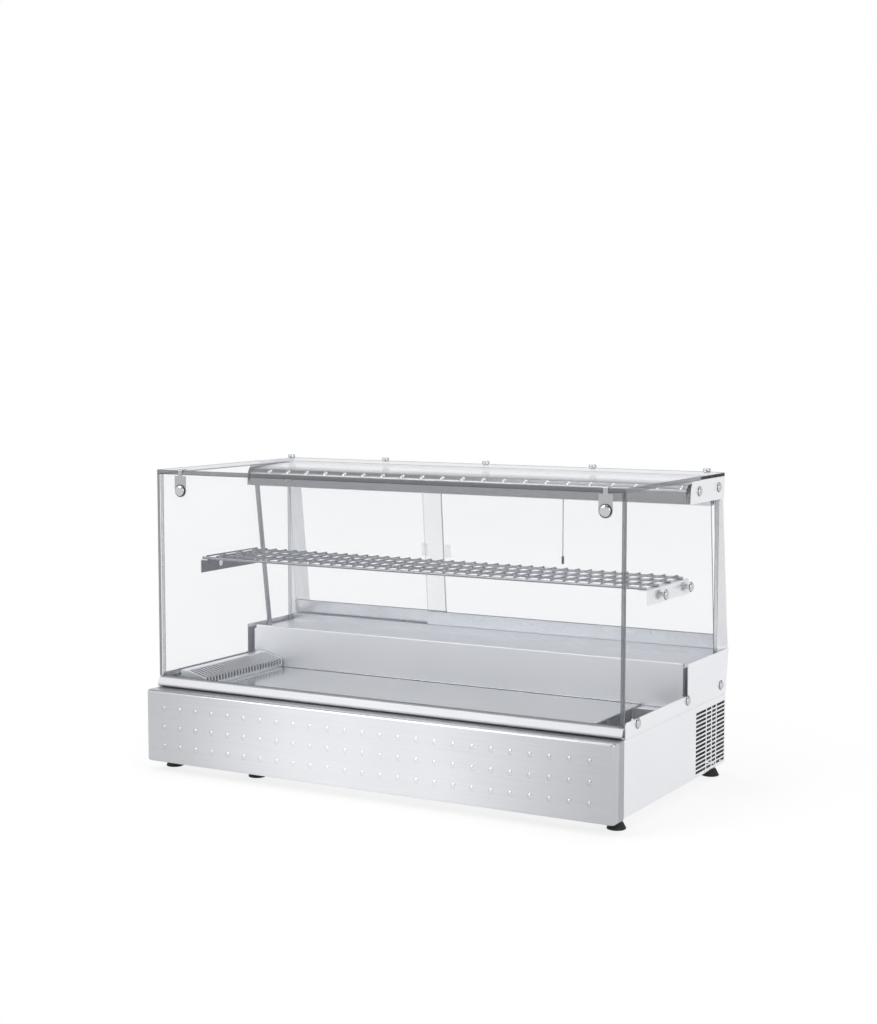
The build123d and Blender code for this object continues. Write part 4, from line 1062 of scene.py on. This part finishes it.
class FittingsOperator(bpy.types.Operator):
    """Turned bolts, knobs and feet, and the finish of the screws, doors and switches"""

    bl_idname = "display_case.fittings"
    bl_label = "Fittings"

    nut_radius = 7 * MM
    nut_height = 3 * MM
    shank_radius = 4 * MM
    head_height = 5 * MM
    head_rim = 1.1 * MM
    probe_wire_radius = 0.9 * MM
    probe_bulb_length = 16 * MM
    bead_radius = 1.1 * MM

    def execute(self, context):
        self.add_bolts()
        self.add_probe()
        self.add_bead()
        self.add_filter()
        knobs = turned_copies("cover_knobs", KNOB_SHAPE, KNOB_SIDES)
        finish_mesh(knobs, "top_knobs", "case", ["bright"], ["cover_knobs"])
        feet = turned_copies("feet", FOOT_SHAPE, FOOT_SIDES)
        finish_mesh(feet, "rubber_feet", "case", ["rubber"], ["feet"])
        looks = {
            "bright": ["panel_screws"],
            "aluminium": ["door_tracks", "door_left_rail", "door_right_rail"],
            "rubber": ["compressor_mounts"],
            "white": ["lamp_housing", "lamp_diffuser"],
            "acrylic": ["door_left_pull", "door_right_pull"],
            "plastic": [
                "cable_gland",
                "switch_housings",
                "thermostat_body",
                "thermostat_knob",
            ],
            "green": ["power_rocker", "lamp_rocker"],
        }
        dress(looks)
        return {"FINISHED"}

    def add_bolts(self):
        """Bolts through the sides point to the nearer side, and those of the clips to the front."""
        side_bolts_from = 480 * MM
        bm = bmesh.new()
        for low, high in solids_of("dome_bolts"):
            size = high - low
            start = (low + high) / 2
            if abs(start.x) > side_bolts_from:
                outward = TO_LEFT if start.x < 0 else TO_RIGHT
                start.x = high.x if start.x < 0 else low.x
                reach = size.x
            else:
                outward = TO_FRONT
                start.y = high.y
                reach = size.y
            self.add_bolt(bm, facing(start, outward), reach, size.z / 2)
        finish_mesh(bm, "dome_heads", "case", ["bright", "rubber"], ["dome_bolts"])

    def add_bolt(self, bm, place, reach, radius):
        """Bolt from its nut end: a hexagon nut, a shank, a dark ring under the head and a domed head.
        """
        nut_middle = self.nut_height / 2
        lifted = place @ Matrix.Translation((0, 0, nut_middle))
        add_cylinder(bm, lifted, self.nut_radius, self.nut_height, 6)
        shank = self.shank_radius
        bearing = reach - self.head_height
        rim = self.head_rim
        bolt = [(0, nut_middle), (shank, nut_middle), (shank, bearing), (radius, bearing)]
        # the edge is upright for 0.6 of the rim, and steps in 2 percent to the dome
        bolt.append((radius, bearing + rim * 0.6))
        dome = radius * 0.98
        turns = 8
        for turn in range(turns):
            angle = math.pi / 2 * turn / turns
            crown = (self.head_height - rim) * math.sin(angle)
            bolt.append((dome * math.cos(angle), bearing + rim + crown))
        bolt.append((0, reach))
        add_turned(bm, bolt, place, BOLT_SIDES)
        # the dark ring is pressed a little into its seat, and its top slopes up to the head
        under, side_top, top = bearing - 0.1 * MM, bearing + 0.5 * MM, bearing + 0.7 * MM
        dark_ring = [
            (shank, under),
            (radius * 1.08, under),
            (radius * 1.08, side_top),
            (radius * 0.9, top),
            (shank, top),
            (shank, under),
        ]
        for face in add_turned(bm, dark_ring, place, BOLT_SIDES):
            face.material_index = 1

    def add_probe(self):
        """Hanging air probe: a thin grey wire with a black bulb."""
        low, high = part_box("air_probe")
        x, y = (low.x + high.x) / 2, (low.y + high.y) / 2
        bulb = (high.x - low.x) / 2
        tall = self.probe_bulb_length
        bm = bmesh.new()
        add_rod(bm, (x, y, low.z + tall / 2), (x, y, high.z), self.probe_wire_radius)
        for face in bm.faces:
            face.material_index = 1
        # a nearly round tip, a straight body and a shoulder to the wire
        outline = [
            (0, 0),
            (bulb * 0.7, bulb * 0.2),
            (bulb, bulb * 0.8),
            (bulb, tall - bulb),
            (bulb * 0.5, tall),
            (0, tall),
        ]
        add_turned(bm, outline, facing((x, y, low.z), UP), PROBE_SIDES)
        looks = ["plastic", "grey"]
        finish_mesh(bm, "air_probe_bulb", "case", looks, ["air_probe"])

    def add_bead(self):
        """Bright bead over a dark strip of painted shade where the deck meets the riser."""
        deck_gap = 0.3 * MM
        shade_strip_depth = 3 * MM
        shade_strip_rise = 0.4 * MM
        bead_from_riser = 1.6 * MM
        deck_low, deck_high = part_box("deck_plate")
        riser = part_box("rear_panel")[0].y
        bm = bmesh.new()
        # painted shade: a dark strip fills the gap between the deck and the riser
        low = (deck_low.x, deck_high.y + deck_gap, deck_high.z - shade_strip_depth)
        high = (deck_high.x, riser, deck_high.z + shade_strip_rise)
        add_box(bm, low, high)
        for face in bm.faces:
            face.material_index = 1
        place = (riser - bead_from_riser, deck_high.z + self.bead_radius)
        add_rod(bm, (deck_low.x, *place), (deck_high.x, *place), self.bead_radius)
        finish_mesh(bm, "deck_bead", "case", ["bright", "tape"])

    def add_filter(self):
        """Black foam filter under the fins of the air intake."""
        side_gap = 4 * MM
        lift = 3.5 * MM
        thickness = 3 * MM
        edge_radius = 0.8 * MM
        low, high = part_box("return_grille")
        bottom = low.z + lift
        bm = bmesh.new()
        add_box(
            bm,
            (low.x + side_gap, low.y + side_gap, bottom),
            (high.x - side_gap, high.y - side_gap, bottom + thickness),
        )
        round_edges(bm, bm.edges[:], edge_radius, segments=2)
        finish_mesh(bm, "intake_filter", "intake_grille", ["plastic"])


class MachineOperator(bpy.types.Operator):
    """Finish of the pieces inside the base"""

    bl_idname = "display_case.machine"
    bl_label = "Machine"

    def execute(self, context):
        looks = {
            "foam": ["insulation"],
            "fins": ["evaporator_coil"],
            # the condenser's black paint is its own finish, and also painted shade behind the vents of
            # the base
            "enamel": ["compressor", "condenser_coil"],
            "copper": ["refrigerant_lines"],
            "grey": ["terminal_box", "drain_pipe"],
            "plastic": [
                "evaporator_fan_frame",
                "evaporator_fan_rotor",
                "condenser_fan_frame",
                "condenser_fan_rotor",
            ],
        }
        dress(looks)
        return {"FINISHED"}


STEPS = (
    StudioOperator,
    SheetMetalOperator,
    FrontPanelOperator,
    HeaderOperator,
    GlassOperator,
    ShelfOperator,
    FittingsOperator,
    MachineOperator,
)


class DisplayCasePanel(bpy.types.Panel):
    """Lists the steps that dress the display case, and its sizes and colours"""

    bl_idname = "DISPLAY_CASE_PT_steps"
    bl_label = "Display Case"
    bl_space_type = "VIEW_3D"
    bl_region_type = "UI"
    bl_category = "Display Case"

    def draw(self, context):
        for step in STEPS:
            self.layout.operator(step.bl_idname)
        for group in (context.scene.case_sizes, context.scene.case_finish):
            for name in group.bl_rna.properties.keys():
                if name not in ("name", "rna_type"):
                    self.layout.prop(group, name)


CLASSES = (CaseSizes, CaseFinish, *STEPS, DisplayCasePanel)


def register():
    for item in CLASSES:
        bpy.utils.register_class(item)
    bpy.types.Scene.case_sizes = bpy.props.PointerProperty(type=CaseSizes)
    bpy.types.Scene.case_finish = bpy.props.PointerProperty(type=CaseFinish)


def unregister():
    del bpy.types.Scene.case_finish
    del bpy.types.Scene.case_sizes
    for item in reversed(CLASSES):
        bpy.utils.unregister_class(item)


def main():
    register()
    make_materials()
    for step in STEPS:
        group, name = step.bl_idname.split(".")
        getattr(getattr(bpy.ops, group), name)()


if __name__ == "__main__":
    main()
